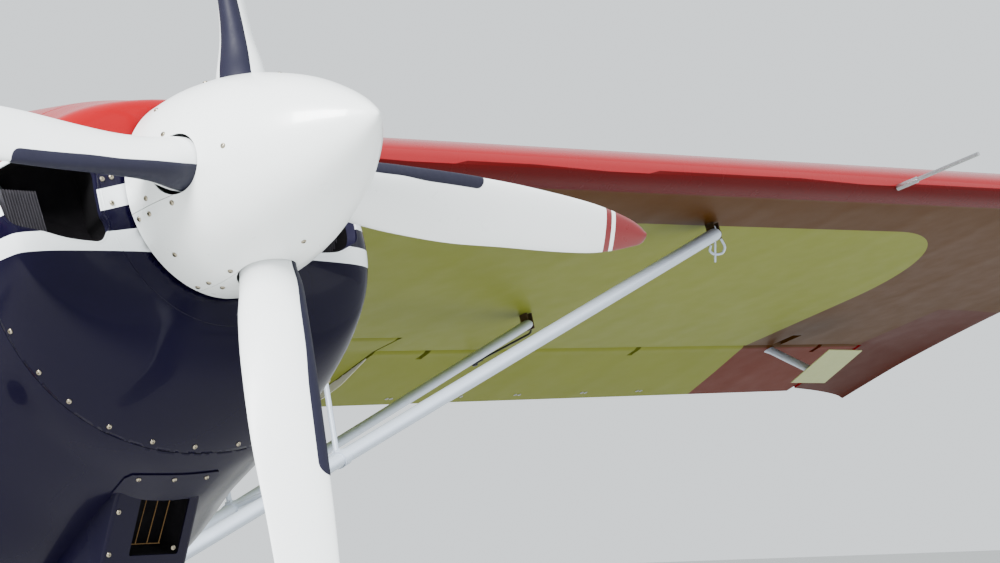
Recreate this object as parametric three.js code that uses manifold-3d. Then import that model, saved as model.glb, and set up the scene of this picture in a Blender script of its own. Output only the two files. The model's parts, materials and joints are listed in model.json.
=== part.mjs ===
// A high-wing, two-seat light aircraft with a four-blade propeller, standing on its tailwheel gear.
// It is drawn in its own body frame: origin at the propeller hub, +X to port, +Y aft along the
// thrust line, +Z up. The last lines set it down nose-up, with its origin under its middle.
import * as THREE from "three";
import { mergeVertices } from "three/addons/utils/BufferGeometryUtils.js";
import Module from "manifold-3d";

const wasm = await Module();
wasm.setup();

// Driving dimensions, in millimetres and degrees
const seat = 0.3; // gap that touching pieces keep
const parkedPitch = 12; // nose-up angle on the ground

const spinner = { tip: -280, rim: 107, rimRadius: 160, wall: 4, bladeHole: 49 };
const hub = { half: 60, plateRadius: 155.9, plateFront: 98, plateBack: 106, shaftRadius: 42 };
const propeller = { bladeRoot: 60.5, clocking: 3.64, coning: 0.017, blades: 4 };

const cowl = { front: 112.5, joint: 226, back: 1049.7, wall: 8, split: -14, spinnerHole: 150 };
const inlet = { inner: 203, outer: 329, low: -75, lowOuter: -46, high: 66, corner: 24 };
const intake = { left: 70, right: -100, wall: 6, mouthLeft: 47, mouthRight: -50 };
const outlet = { halfWidth: 150, from: 850 };
const engine = { nose: 200, halfWidth: 285, low: -180, high: 90, front: 240, back: 780, mountRadius: 14 };

const boot = { front: 1050, back: 1248, wall: 12 };
const cabin = { front: 1250, back: 2961, half: 372, wall: 30, floor: -560, corner: 45 };
const screen = { baseY: 1120, sideY: 1215, topY: 1392, glass: 8 };
const roof = { half: 356, wall: 24, front: 1363, skylightHalf: 235, skylightFrom: 1700, skylightTo: 2450 };
const door = { front: 1300, back: 2300, sill: 26, low: -390, top: 440, gap: 6, frame: 55 };
const glass = 6;

const wing = { y: 1363, z: 519, incidence: 2.7, dihedral: 1.4, chord: 1600, droop: 8.5, droopFrom: 0.78 };
const span = { root: 356.3, flapFrom: 440, flapTo: 2793, aileronFrom: 2807, aileronTo: 5096, full: 5104 };
const flap = { hinge: 0.727, cove: 9 };
const aileron = { hinge: 0.798, cove: 7 };
// The balance plate below the aileron's nose, and the slot for its arm in the wing's lower lip
const spade = { from: 4535, to: 4711, slotFrom: 4604, slotTo: 4650, slotFront: 1150 };
const strut = { chord: 76, thick: 34, topX: 3108, topFront: 1578, topRear: 2297, lowZ: -556 };
const strutFoot = { x: 400, front: 1846, rear: 1928 };
const jury = { x: 1716, radius: 10, clamp: 44, wall: 5, topShift: 70 };

const tyre = { radius: 280, width: 200, rim: 150 };
const wheel = { x: 920, y: 1350, z: -1060, axle: 22, bore: 22.5 };
const leg = { front: 1235, rear: 1930, topX: 292, thick: 26 };
const tailwheel = { y: 6265, radius: 100, width: 62, trail: 66 };

const tail = { end: 6068, hinge: 6100, noseRadius: 16 };
const fin = { root: 100, top: 1120, thick: 30, gap: 24 };
const plane = { z: 118, tip: 1520, hinge: 5950, noseRadius: 17, thick: 32 };

// Hinge lugs stand on the fixed piece, each in a notch of the piece that turns
const wingLug = { width: 22, radius: 20, clear: 5, flapAt: [700, 1620, 2540], aileronAt: [3020, 3950, 4880] };
const tailLug = { width: 16, radius: 8, clear: 5, rudderAt: [300, 640, 980], elevatorAt: [300, 800, 1300] };
const doorLug = { width: 60, radius: 5, clear: 2, lowerAt: [1420, 1800, 2180], upperAt: [60, 450, 840] };

const point = (x, y, z) => new THREE.Vector3(x, y, z);
const radians = THREE.MathUtils.degToRad;
const mix = THREE.MathUtils.lerp;

// Finishes
const finish = (color, roughness, metalness = 0) =>
  new THREE.MeshStandardMaterial({ color, roughness, metalness });
const paint = {
  navy: finish(0x1c1b3c, 0.16),
  red: finish(0x8e1f26, 0.3),
  white: finish(0xe6e8ea, 0.25),
  cream: finish(0xd9d3a0, 0.5),
  silver: finish(0xb9c2cb, 0.4),
  black: finish(0x17171a, 0.55),
  metal: finish(0x8f9499, 0.35, 0.9),
  rubber: finish(0x1b1b1c, 0.9),
  glass: finish(0xc9dde2, 0.08),
  cloth: finish(0x3b4152, 0.9),
};

// A closed geometry as a solid that can be cut and joined
function solid(geometry) {
  const bare = new THREE.BufferGeometry();
  bare.setAttribute("position", geometry.getAttribute("position"));
  bare.setIndex(geometry.index);
  const merged = mergeVertices(bare, 1e-3);
  return new wasm.Manifold(
    new wasm.Mesh({
      numProp: 3,
      vertProperties: new Float32Array(merged.attributes.position.array),
      triVerts: new Uint32Array(merged.index.array),
    }),
  );
}

// A solid's surface as a geometry again
function geometryOf(body) {
  const surface = body.getMesh();
  const geometry = new THREE.BufferGeometry();
  geometry.setAttribute("position", new THREE.BufferAttribute(surface.vertProperties, 3));
  geometry.setIndex(new THREE.BufferAttribute(surface.triVerts, 1));
  geometry.computeVertexNormals();
  return geometry;
}

function part(name, body, material) {
  const mesh = new THREE.Mesh(geometryOf(body), material);
  mesh.name = name;
  return mesh;
}

const moved = (body, matrix) => body.transform(matrix.elements);
const joined = (bodies) => bodies.reduce((all, one) => all.add(one));

function box(x0, x1, y0, y1, z0, z1) {
  const geometry = new THREE.BoxGeometry(x1 - x0, y1 - y0, z1 - z0);
  geometry.translate((x0 + x1) / 2, (y0 + y1) / 2, (z0 + z1) / 2);
  return solid(geometry);
}

// Skins a row of rings that have the same even number of points; each end is closed by a ladder
// of quads between point i and its opposite, so a ring is listed up one side and back down the other.
function loft(rings) {
  const count = rings[0].length;
  const last = (rings.length - 1) * count;
  const faces = [];
  for (let ring = 0; ring < rings.length - 1; ring += 1) {
    for (let i = 0; i < count; i += 1) {
      const a = ring * count + i;
      const b = ring * count + ((i + 1) % count);
      faces.push([a, b, b + count], [a, b + count, a + count]);
    }
  }
  for (let i = 0; i + 1 < count / 2; i += 1) {
    const j = count - 1 - i;
    faces.push([i, j, j - 1], [i, j - 1, i + 1]);
    faces.push([last + i, last + i + 1, last + j - 1], [last + i, last + j - 1, last + j]);
  }
  const points = rings.flat();
  const volume = faces.reduce((sum, [a, b, c]) => {
    return sum + points[a].dot(points[b].clone().cross(points[c]));
  }, 0);
  const facing = volume > 0 ? faces : faces.map(([a, b, c]) => [a, c, b]);
  const geometry = new THREE.BufferGeometry().setFromPoints(points);
  geometry.setIndex(facing.flat());
  return solid(geometry);
}

// An outline in the Y-Z plane, pushed out along X
function slabAlongX(outline, x0, x1) {
  const shape = new THREE.Shape(outline.map(([y, z]) => new THREE.Vector2(y, z)));
  const geometry = new THREE.ExtrudeGeometry(shape, { depth: x1 - x0, bevelEnabled: false });
  // the outline's plane becomes Y-Z and its depth becomes X
  geometry.applyMatrix4(new THREE.Matrix4().makeBasis(point(0, 1, 0), point(0, 0, 1), point(1, 0, 0)));
  geometry.translate(x0, 0, 0);
  return solid(geometry);
}

// A round bar between two points
function bar(from, to, radius, sides = 10) {
  const along = to.clone().sub(from);
  const geometry = new THREE.CylinderGeometry(radius, radius, along.length(), sides);
  const turn = new THREE.Quaternion().setFromUnitVectors(point(0, 1, 0), along.clone().normalize());
  geometry.applyQuaternion(turn);
  geometry.translate(...from.clone().add(to).multiplyScalar(0.5).toArray());
  return solid(geometry);
}

// A turned body about the Y axis from rows of [radius, y]
function turnedAboutY(rows, sides) {
  return solid(new THREE.LatheGeometry(rows.map(([r, y]) => new THREE.Vector2(r, y)), sides));
}

// Turns a body about Y into one about X
const yToX = new THREE.Matrix4().makeRotationZ(-Math.PI / 2);

// A hoop of the body's section; rows: y, half width, top, bottom, and how square it is above and below
function hoop(row, count = 28, middle = -50) {
  const { y, half, top, bottom, above, below } = row;
  return Array.from({ length: count }, (_, i) => {
    const angle = ((i + 0.5) * 2 * Math.PI) / count;
    const c = Math.cos(angle);
    const s = Math.sin(angle);
    const power = 2 / (s > 0 ? above : below);
    const rise = s > 0 ? top - middle : middle - bottom;
    return point(
      half * Math.sign(c) * Math.abs(c) ** power,
      y,
      middle + rise * Math.sign(s) * Math.abs(s) ** power,
    );
  });
}

const row = ([y, half, top, bottom, above, below]) => ({ y, half, top, bottom, above, below });
const grown = (section, by) => ({
  ...section,
  half: section.half + by,
  top: section.top + by,
  bottom: section.bottom - by,
});

// Propeller: the spinner, the hub with its back plate, and four twisted blades
function makeSpinner() {
  // columns: y, radius
  const outline = [
    [-280, 0], [-275, 10], [-262, 25], [-240, 46], [-205, 73], [-160, 101], [-110, 124],
    [-55, 144], [5, 157], [60, 162], [107, 160],
  ];
  const outer = outline.map(([y, radius]) => [radius, y]);
  const inner = outline.slice(1).map(([y, radius]) => [radius - spinner.wall, y + spinner.wall]);
  inner[inner.length - 1][1] = spinner.rim;
  const wall = [...outer, ...inner.reverse(), [0, spinner.tip + 2 * spinner.wall]];
  let shell = turnedAboutY(wall, 24);
  for (const [dx, dz] of [[1, 0], [-1, 0], [0, 1], [0, -1]]) {
    const reach = 2 * spinner.rimRadius;
    shell = shell.subtract(bar(point(0, 0, 0), point(dx * reach, 0, dz * reach), spinner.bladeHole, 16));
  }
  return part("spinner", shell, paint.white);
}

function makeHub() {
  const { half, plateRadius, plateFront, plateBack, shaftRadius } = hub;
  const turned = turnedAboutY(
    [[0, 20], [half - 12, 20], [half - 12, plateFront], [plateRadius, plateFront],
      [plateRadius, plateBack], [shaftRadius, plateBack], [shaftRadius, engine.nose - seat],
      [0, engine.nose - seat]],
    24,
  );
  const block = box(-half, half, -half, half, -half, half);
  return part("propeller_hub", turned.add(block), paint.metal);
}

function makeBlade(index) {
  // columns: radius, chord, thickness, pitch, share of the chord ahead of the axis, camber
  const stations = [
    [propeller.bladeRoot, 83, 83, 45, 0.5, 0], [150, 85, 79, 45.5, 0.505, 0], [175, 93, 70, 45.5, 0.51, 0.05],
    [215, 102, 53, 43.5, 0.48, 0.12], [300, 109, 36, 35, 0.455, 0.25], [410, 112, 24, 26, 0.445, 0.3],
    [530, 106, 16, 21, 0.455, 0.3], [640, 97, 12, 19, 0.44, 0.3], [730, 84, 10, 18.5, 0.42, 0.3],
    [785, 67, 8, 18.5, 0.4, 0.3], [830, 46, 7, 18.5, 0.36, 0.3], [856, 28, 6, 18, 0.22, 0.3],
    [867.5, 10, 4, 18, -0.1, 0.3],
  ];
  const rings = stations.map(([radius, chord, thick, pitch, lead, camber]) => {
    const ahead = point(0, -Math.sin(radians(pitch)), Math.cos(radians(pitch)));
    const face = point(0, -Math.cos(radians(pitch)), -Math.sin(radians(pitch)));
    return Array.from({ length: 16 }, (_, i) => {
      const angle = ((i + 0.5) * Math.PI) / 8;
      const along = (Math.cos(angle) / 2 + lead - 0.5) * chord;
      const out = (Math.sin(angle) / 2) * thick * (1 + camber * Math.cos(angle));
      const axis = point(radius, -propeller.coning * (radius - propeller.bladeRoot), 0);
      return axis.addScaledVector(ahead, along).addScaledVector(face, out);
    });
  });
  const blade = part(`blade_${index + 1}`, loft(rings), paint.white);
  blade.rotation.y = (-index * 2 * Math.PI) / propeller.blades;
  return blade;
}

// Cowling: nose bowl, red top and navy chin round one block of engine
// columns: y, half width, top, bottom, squareness above, squareness below
const cowlRows = [
  [112.5, 165, 152, -164, 2, 2], [118, 238, 159, -201, 2, 2], [128, 316, 166, -234, 2.1, 2],
  [146, 352, 171, -282, 2.2, 2.1], [176, 356, 181, -324, 2.15, 2.2], [226, 357, 200, -370, 2.1, 2.2],
  [300, 360, 220, -406, 2.1, 2.1], [400, 363, 244, -444, 2.15, 2.15], [560, 365, 288, -501, 2.3, 2.6],
  [800, 371, 312, -525, 2.6, 3.7], [1049.7, 372, 335, -548, 2.8, 5.5],
].map(row);
const bootRows = [
  [1050, 372, 335, -548, 2.8, 5.5], [1140, 372, 344, -556, 3, 7], [1248, 372, 352, -560, 3.2, 9],
].map(row);

// A cooling inlet's cutter: lower at its inner end, with rounded corners
function inletCutter(side) {
  const { inner, outer, low, lowOuter, high, corner } = inlet;
  const wide = 2 * corner;
  const shape = new THREE.Shape();
  shape.moveTo(inner, 0);
  shape.quadraticCurveTo(inner, low, inner + wide, low);
  shape.quadraticCurveTo(outer - corner, lowOuter - 20, outer - corner / 2, lowOuter + 8);
  shape.quadraticCurveTo(outer, lowOuter + wide, outer, 0);
  shape.quadraticCurveTo(outer, high, outer - wide, high);
  shape.lineTo(inner + corner, high);
  shape.quadraticCurveTo(inner, high, inner, high - corner);
  const geometry = new THREE.ExtrudeGeometry(shape, { depth: 110, bevelEnabled: false, curveSegments: 4 });
  geometry.rotateX(Math.PI / 2);
  geometry.translate(0, 200, 0);
  const cutter = solid(geometry);
  return side > 0 ? cutter : cutter.mirror([1, 0, 0]);
}

// The filter intake's fairing under the chin, its hollow and its mouth, seen along X; columns: y, z
const scoopOutline = [[303, -385], [403, -530], [440, -546], [660, -512], [660, -470], [420, -400], [316, -380]];
const scoopHollow = [[310, -384], [407, -524], [441, -540], [654, -507], [654, -380], [310, -350]];
const scoopMouth = [[297, -430], [350, -507], [400, -473], [347, -396]];

function makeCowling() {
  const outer = loft(cowlRows.map((section) => hoop(section)));
  const hollow = cowlRows.map((section, i) => {
    const inside = grown(section, -cowl.wall);
    if (i === 0) inside.y = cowl.front + cowl.wall;
    if (i === cowlRows.length - 1) inside.y = cowl.back + 10;
    return inside;
  });
  hollow.splice(1, 1);
  let shell = outer.subtract(loft(hollow.map((section) => hoop(section))));
  shell = shell.subtract(bar(point(0, 90, 0), point(0, 200, 0), cowl.spinnerHole, 32));
  for (const side of [1, -1]) shell = shell.subtract(inletCutter(side));
  const { left, right, wall, mouthLeft, mouthRight } = intake;
  const exit = box(-outlet.halfWidth, outlet.halfWidth, outlet.from, cowl.back + 5, -600, -440);
  shell = shell
    .add(slabAlongX(scoopOutline, right, left))
    .subtract(slabAlongX(scoopHollow, right + wall, left - wall))
    .subtract(slabAlongX(scoopMouth, mouthRight, mouthLeft))
    .subtract(exit);
  const far = 700;
  const bowl = shell.intersect(box(-far, far, 0, cowl.joint, -far, far));
  const behind = shell.intersect(box(-far, far, cowl.joint + seat, cowl.back, -far, far));
  const upper = behind.intersect(box(-far, far, 0, 2 * far, cowl.split + seat, far));
  const lower = behind.intersect(box(-far, far, 0, 2 * far, -far, cowl.split));
  return [
    part("nose_bowl", bowl, paint.navy),
    part("cowl_upper", upper, paint.red),
    part("cowl_lower", lower, paint.navy),
  ];
}

function makeEngine() {
  const { nose, halfWidth, low, high, front, back, mountRadius } = engine;
  let block = box(-halfWidth, halfWidth, front, back, low, high);
  block = block.add(bar(point(0, nose, 0), point(0, front + 10, 0), 62, 20));
  for (const x of [-1, 1]) {
    for (const z of [-150, 70]) {
      const from = point(x * 180, back - 40, z);
      const to = point(x * 240, boot.front + 10, z);
      block = block.add(bar(from, to, mountRadius, 8));
    }
  }
  return part("engine", block.trimByPlane([0, -1, 0], -(boot.front - seat)), paint.metal);
}

function makeExhaust() {
  const route = new THREE.CatmullRomCurve3([
    point(110, 700, engine.low - seat),
    point(110, 720, -300),
    point(112, 850, -410),
    point(114, 970, -505),
    point(115, 1030, -600),
  ]);
  const ring = new THREE.Shape().absarc(0, 0, 30, 0, 2 * Math.PI);
  const geometry = new THREE.ExtrudeGeometry(ring, { steps: 10, extrudePath: route, curveSegments: 5 });
  const top = engine.low - seat;
  return part("exhaust", solid(geometry).trimByPlane([0, 0, -1], -top), paint.metal);
}

// Front fuselage: boot cowl, cabin shell with its windows and door, windscreen and roof
function bootSolid(by = 0, y0 = boot.front, y1 = boot.back) {
  const sections = bootRows.map((section) => grown(section, by));
  sections[0].y = y0;
  sections[sections.length - 1].y = y1;
  return loft(sections.map((section) => hoop(section)));
}

function makeBoot() {
  const inside = bootSolid(-boot.wall, boot.front + boot.wall, boot.back + 20);
  return part("boot_cowl", bootSolid().subtract(inside), paint.navy);
}

// Height of the wing's lower face above the thrust line at its root, at a station y
const droopStart = wing.y + wing.droopFrom * wing.chord;
const ceiling = (y) => {
  const fall = (y - wing.y) * Math.tan(radians(wing.incidence));
  const droop = Math.max(0, y - droopStart) * Math.tan(radians(wing.droop));
  return wing.z + span.root * Math.tan(radians(wing.dihedral)) - fall - droop;
};

const screenFoot = (y) => 250 + (y - screen.sideY) * 1.35;

function cabinBlock(by) {
  const half = cabin.half + by;
  const low = cabin.floor - by;
  const high = 800;
  const corner = cabin.corner;
  const shape = new THREE.Shape();
  shape.moveTo(half, high);
  shape.lineTo(-half, high);
  shape.lineTo(-half, low + corner);
  shape.absarc(-half + corner, low + corner, corner, Math.PI, 1.5 * Math.PI);
  shape.absarc(half - corner, low + corner, corner, 1.5 * Math.PI, 2 * Math.PI);
  const depth = cabin.back - cabin.front;
  const geometry = new THREE.ExtrudeGeometry(shape, { depth, bevelEnabled: false, curveSegments: 5 });
  geometry.rotateX(Math.PI / 2);
  geometry.translate(0, cabin.back, 0);
  const front = cabin.front;
  const top = (y) => [y, ceiling(y) - 1 + by];
  const side = slabAlongX(
    [[front, low], [cabin.back, low], top(cabin.back), top(droopStart), top(screen.topY),
      [front, screenFoot(front) + by]],
    -half - 5,
    half + 5,
  );
  return solid(geometry).intersect(side);
}

// A door's hinge frame has Y along the pin and Z from the door towards the cabin's edge
const lowerHinge = new THREE.Matrix4()
  .makeTranslation(-cabin.half, 0, door.low + door.gap)
  .multiply(new THREE.Matrix4().makeScale(1, 1, -1));
const upperHinge = new THREE.Matrix4()
  .makeTranslation(-cabin.half, door.front + 85 + door.gap, door.top - door.gap)
  .multiply(new THREE.Matrix4().makeRotationX(-Math.atan(30 / (door.back - door.front - 85 - 2 * door.gap))));
function doorLugs(frame, stations) {
  const { width, radius } = doorLug;
  return joined(stations.map((y) => {
    const strap = box(-radius, radius, y - width / 2, y + width / 2, 0, 16);
    const pin = bar(point(0, y - width / 2, 0), point(0, y + width / 2, 0), radius, 12);
    return moved(strap.add(pin), frame);
  }));
}
function doorNotches(frame, stations) {
  const { width, radius, clear } = doorLug;
  const reach = radius + clear;
  return joined(stations.map((y) =>
    moved(box(-reach, reach, y - width / 2 - seat, y + width / 2 + seat, -reach, reach), frame)));
}

// Outlines of the openings in the cabin sides, as [y, z]
function doorWindow(inset) {
  const { front, back, sill, top } = door;
  return [
    [front + inset, sill + inset], [back - inset, sill + inset],
    [back - inset, top - 30 - inset], [front + 85 + inset, top - inset],
  ];
}
function doorPanel(inset) {
  const { front, back, sill, low } = door;
  return [
    [front + inset, low + inset], [back - inset, low + inset],
    [back - inset, sill - inset], [front + inset, sill - inset],
  ];
}
function rearWindow(inset) {
  return [
    [2375 + inset, 60 + inset], [2845 - inset, 200 + inset],
    [2845 - inset, 372 - inset], [2375 + inset, 400 - inset],
  ];
}

function makeCabin() {
  const { half, wall, floor, front, back } = cabin;
  const inside = box(wall - half, half - wall, front - 10, back - wall, floor + wall, 900);
  let shell = cabinBlock(0).subtract(inside);
  shell = shell.subtract(slabAlongX(doorWindow(0), 300, 420));
  shell = shell.subtract(slabAlongX(doorWindow(0), -420, -300));
  shell = shell.subtract(slabAlongX(doorPanel(0), -420, -300));
  shell = shell.subtract(box(-420, -300, door.front, door.back, door.sill - 5, door.sill + 5));
  for (const x of [-420, 300]) shell = shell.subtract(slabAlongX(rearWindow(0), x, x + 120));
  for (const side of [1, -1]) {
    const [x0, x1] = side > 0 ? [half - 5, strutFoot.x] : [-strutFoot.x, 5 - half];
    shell = shell.add(box(x0, x1, strutFoot.front - 34, strutFoot.rear + 34, floor + 8, floor + 78));
  }
  shell = shell.add(doorLugs(lowerHinge, doorLug.lowerAt)).add(doorLugs(upperHinge, doorLug.upperAt));
  return part("cabin_shell", shell, paint.red);
}

function makeSideGlass() {
  const x = cabin.half - cabin.wall / 2;
  return [
    part("window_left", slabAlongX(doorWindow(seat), x, x + glass), paint.glass),
    part("rear_window_left", slabAlongX(rearWindow(seat), x, x + glass), paint.glass),
    part("rear_window_right", slabAlongX(rearWindow(seat), -x - glass, -x), paint.glass),
  ];
}

function makeDoors() {
  const { half, wall } = cabin;
  const panel = slabAlongX(doorPanel(door.gap), -half, wall - half)
    .subtract(doorNotches(lowerHinge, doorLug.lowerAt));
  const leaf = slabAlongX(doorWindow(door.gap), -half, wall - half)
    .subtract(doorNotches(upperHinge, doorLug.upperAt));
  const pane = doorWindow(door.gap + door.frame);
  const x = cabin.wall / 2 - half;
  return [
    part("door_lower", panel, paint.red),
    part("door_upper", leaf.subtract(slabAlongX(pane, -420, -300)), paint.red),
    part("door_glass", slabAlongX(doorWindow(door.gap + door.frame + seat), x, x + glass), paint.glass),
  ];
}

// The roof between the wing roots follows the wing's nose and then falls gently to the back
const roofTop = [
  [1363, 575], [1372, 607], [1395, 633], [1440, 659], [1520, 682], [1640, 698], [1800, 703],
  [2050, 694], [2350, 662], [2650, 617], [2961, 566],
];
function roofOutline(by) {
  const top = roofTop.map(([y, z], i) => [i < 4 ? y - by : y, z + by]);
  const foot = [cabin.back, droopStart, roof.front + 20].map((y) => [y, ceiling(y) - 0.5]);
  return [...top, ...foot];
}

function makeRoof() {
  const block = slabAlongX(roofOutline(0), -roof.half, roof.half);
  const { wall } = roof;
  const inner = roofTop.slice(1).map(([y, z], i) => [i === 0 ? y + wall : y, z - wall]);
  inner[inner.length - 1][0] = cabin.back - wall;
  const hollow = [...inner, [cabin.back - wall, 300], [roofTop[1][0] + wall, 300]];
  const shell = block.subtract(slabAlongX(hollow, wall - roof.half, roof.half - wall));
  const { skylightHalf: across, skylightFrom: from, skylightTo: to } = roof;
  const pane = slabAlongX(roofOutline(-2), -roof.half, roof.half)
    .subtract(slabAlongX(roofOutline(-2 - glass), -roof.half - 1, roof.half + 1))
    .intersect(box(seat - across, across - seat, from + seat, to - seat, 560, 900));
  return [
    part("roof", shell.subtract(box(-across, across, from, to, 560, 900)), paint.red),
    part("skylight", pane, paint.glass),
  ];
}

// The windscreen is one bent sheet between the boot cowl, the cabin sides and the roof's nose
function makeWindscreen() {
  const sheet = (off) => {
    const rings = [];
    for (let level = 0; level <= 4; level += 1) {
      const up = level / 4;
      const ring = [];
      const arc = (reach) => Array.from({ length: 13 }, (_, i) => {
        const across = (i / 12) * 2 - 1;
        const bend = 1 - Math.abs(across) ** 2.6;
        const low = point(across * 376, mix(1262, screen.baseY - 8, bend), mix(215, 336, bend));
        const high = point(across * 362, mix(1412, 1366, bend), mix(530, 604, bend));
        const bulge = 14 * Math.sin(up * Math.PI) * bend;
        const at = low.lerp(high, up);
        at.y -= bulge + reach * bend;
        at.z += bulge * 0.6 + reach * 0.5;
        at.x += across * reach * 0.5;
        return at;
      });
      ring.push(...arc(off), ...arc(off - screen.glass).reverse());
      rings.push(ring);
    }
    return loft(rings);
  };
  let pane = sheet(0).subtract(bootSolid(seat, boot.front, boot.back + 1.6));
  pane = pane.subtract(slabAlongX(roofOutline(seat), -roof.half - 30, roof.half + 30));
  pane = pane.subtract(cabinBlock(seat));
  return part("windscreen", largest(pane), paint.glass);
}

// The biggest of the pieces that a cut leaves
function largest(body) {
  return body.decompose().reduce((best, one) => (one.volume() > best.volume() ? one : best));
}

function makePanel() {
  const inside = bootSolid(-boot.wall - seat, boot.front + boot.wall, boot.back + 20);
  const board = box(-400, 400, boot.back - 30, boot.back - 10, -70, 400);
  return part("instrument_panel", board.intersect(inside), paint.black);
}

function makeSeat(name, front) {
  const floor = cabin.floor + cabin.wall + seat;
  const tunnel = box(-44, 44, front, front + 400, -560, -440);
  const base = box(-180, 180, front + 60, front + 380, floor, -330).subtract(tunnel);
  const squab = box(-215, 215, front, front + 440, -331, -240);
  const back = slabAlongX(
    [[front + 350, -300], [front + 440, -300], [front + 545, 240], [front + 470, 250]],
    -205,
    205,
  );
  return part(name, base.add(squab).add(back), paint.cloth);
}

function makeSticks() {
  const floor = cabin.floor + cabin.wall + seat;
  const stations = [1545, 2235];
  let sticks = bar(point(0, stations[0] - 40, -480), point(0, stations[1] + 40, -480), 16);
  for (const y of stations) {
    sticks = sticks.add(box(-22, 22, y - 22, y + 22, floor, -480));
    sticks = sticks.add(bar(point(0, y, -480), point(0, y - 30, -150), 12));
    sticks = sticks.add(bar(point(0, y - 19, -260), point(0, y - 30, -140), 19));
  }
  return part("control_sticks", sticks, paint.black);
}

// Rear fuselage: four straight longerons under a rounded deck, closed at the sternpost
// columns: y, half width, top, bottom, squareness above, squareness below
const tailRows = [
  [2961.3, 368, 562, -552, 3.2, 8], [3600, 305, 470, -455, 3, 8], [4400, 224, 364, -330, 2.8, 7],
  [5200, 140, 266, -196, 2.6, 6], [5800, 76, 204, -98, 3, 5], [tail.end, 46, 178, -54, 3, 5],
].map(row);
const tailSolid = (by) => loft(tailRows.map((section) => {
  const aft = section.y === tail.end ? by : 0; // a grown cone also ends further aft
  return hoop({ ...grown(section, by), y: section.y + aft }, 24, 20);
}));

function makeTailCone() {
  const slotThrough = bar(point(-200, plane.hinge, plane.z), point(200, plane.hinge, plane.z), 24, 12);
  return part("tail_cone", tailSolid(0).subtract(slotThrough), paint.red);
}

// Wing section, by share of the chord; columns: s, upper, lower
const profile = [
  [0, 0.042, 0.03], [0.012, 0.06, 0.016], [0.04, 0.079, 0.008], [0.09, 0.098, 0.003],
  [0.17, 0.112, 0], [0.3, 0.118, 0], [0.45, 0.112, 0], [0.6, 0.094, 0], [0.7, 0.077, 0],
  [0.78, 0.06, 0], [0.88, 0.037, 0], [1, 0.006, 0.002],
];
const droopAt = (s) => Math.max(0, s - wing.droopFrom) * Math.tan(radians(wing.droop));
function heights(s) {
  const after = Math.max(1, profile.findIndex(([at]) => at >= s));
  const [s0, upper0, lower0] = profile[after - 1];
  const [s1, upper1, lower1] = profile[after];
  const share = (s - s0) / (s1 - s0);
  return {
    upper: mix(upper0, upper1, share) - droopAt(s),
    lower: mix(lower0, lower1, share) - droopAt(s),
  };
}

// The wing's own frame has X along the span, Y along the chord from the nose and Z up
const wingFrame = new THREE.Matrix4()
  .makeTranslation(0, wing.y, wing.z)
  .multiply(new THREE.Matrix4().makeRotationY(-radians(wing.dihedral)))
  .multiply(new THREE.Matrix4().makeRotationX(-radians(wing.incidence)));

// columns: x, setback of the nose, thickness, drop at the trailing edge, run beyond the chord
const spanRows = [
  [span.root - 20, 0, 1, 0, 0], [span.full, 0, 1, 0, 0], [5240, 30, 0.86, 12, 10],
  [5340, 96, 0.62, 34, 22], [5410, 230, 0.34, 62, 30], [5440, 420, 0.12, 84, 34],
];
function wingRing([x, setback, thickness, drop, run]) {
  const chord = wing.chord - setback + run;
  const at = (s, height) => {
    const low = -drop * s * s;
    return point(x, setback + s * chord, low + height * wing.chord);
  };
  const upper = profile.map(([s]) => at(s, mix(0.012, heights(s).upper, thickness)));
  const lower = profile.map(([s]) => at(s, heights(s).lower * thickness));
  return [...upper, ...lower.reverse()];
}

// The hollow that a flap or an aileron turns in: a round nose about the hinge, open to the back
function bay(surface, x0, x1) {
  const { s, z, radius } = hingeOf(surface);
  const reach = radius + surface.cove;
  const outline = [];
  for (let i = 0; i <= 8; i += 1) {
    const angle = Math.PI / 2 + (i / 8) * Math.PI;
    outline.push([s + reach * Math.cos(angle), z + reach * Math.sin(angle)]);
  }
  outline.push([s, -400], [wing.chord + 80, -400], [wing.chord + 80, 400], [s, 400]);
  return slabAlongX(outline, x0, x1);
}

// Where a surface's hinge lies on the chord, with the radius of its round nose
function hingeOf(surface) {
  const { upper, lower } = heights(surface.hinge);
  return {
    s: surface.hinge * wing.chord,
    z: ((upper + lower) / 2) * wing.chord,
    radius: ((upper - lower) / 2) * wing.chord,
  };
}

function surfaceSolid(surface, x0, x1, stations) {
  const { s, z, radius } = hingeOf(surface);
  const shares = [surface.hinge + 0.04, 0.86, 0.92, 1];
  const section = (x) => {
    const upper = [];
    const lower = [];
    for (const degrees of [10, 30, 60, 90]) {
      const angle = radians(degrees);
      const y = s - radius * Math.cos(angle);
      upper.push(point(x, y, z + radius * Math.sin(angle)));
      lower.push(point(x, y, z - radius * Math.sin(angle)));
    }
    for (const share of shares) {
      const { upper: high, lower: low } = heights(share);
      upper.push(point(x, share * wing.chord, high * wing.chord));
      lower.push(point(x, share * wing.chord, low * wing.chord));
    }
    return [...upper, ...lower.reverse()];
  };
  const { width, radius: lugRadius, clear } = wingLug;
  const notches = stations.map((x) =>
    box(x - width / 2 - seat, x + width / 2 + seat, s - 200, s + lugRadius + clear, -400, 400));
  return loft([section(x0), section(x1)]).subtract(joined(notches));
}

// The lugs of one surface, from the wall of its bay to the hinge
function wingLugs(surface, stations) {
  const { s, z, radius: nose } = hingeOf(surface);
  const { width, radius } = wingLug;
  return joined(stations.map((x) => {
    const [x0, x1] = [x - width / 2, x + width / 2];
    const arm = box(x0, x1, s - nose - surface.cove - 30, s, z - radius, z + radius);
    return arm.add(bar(point(x0, s, z), point(x1, s, z), radius, 12));
  }));
}

// The wing's root is cut upright, beside the roof
const portward = point(1, 0, 0).transformDirection(wingFrame.clone().invert());

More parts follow.
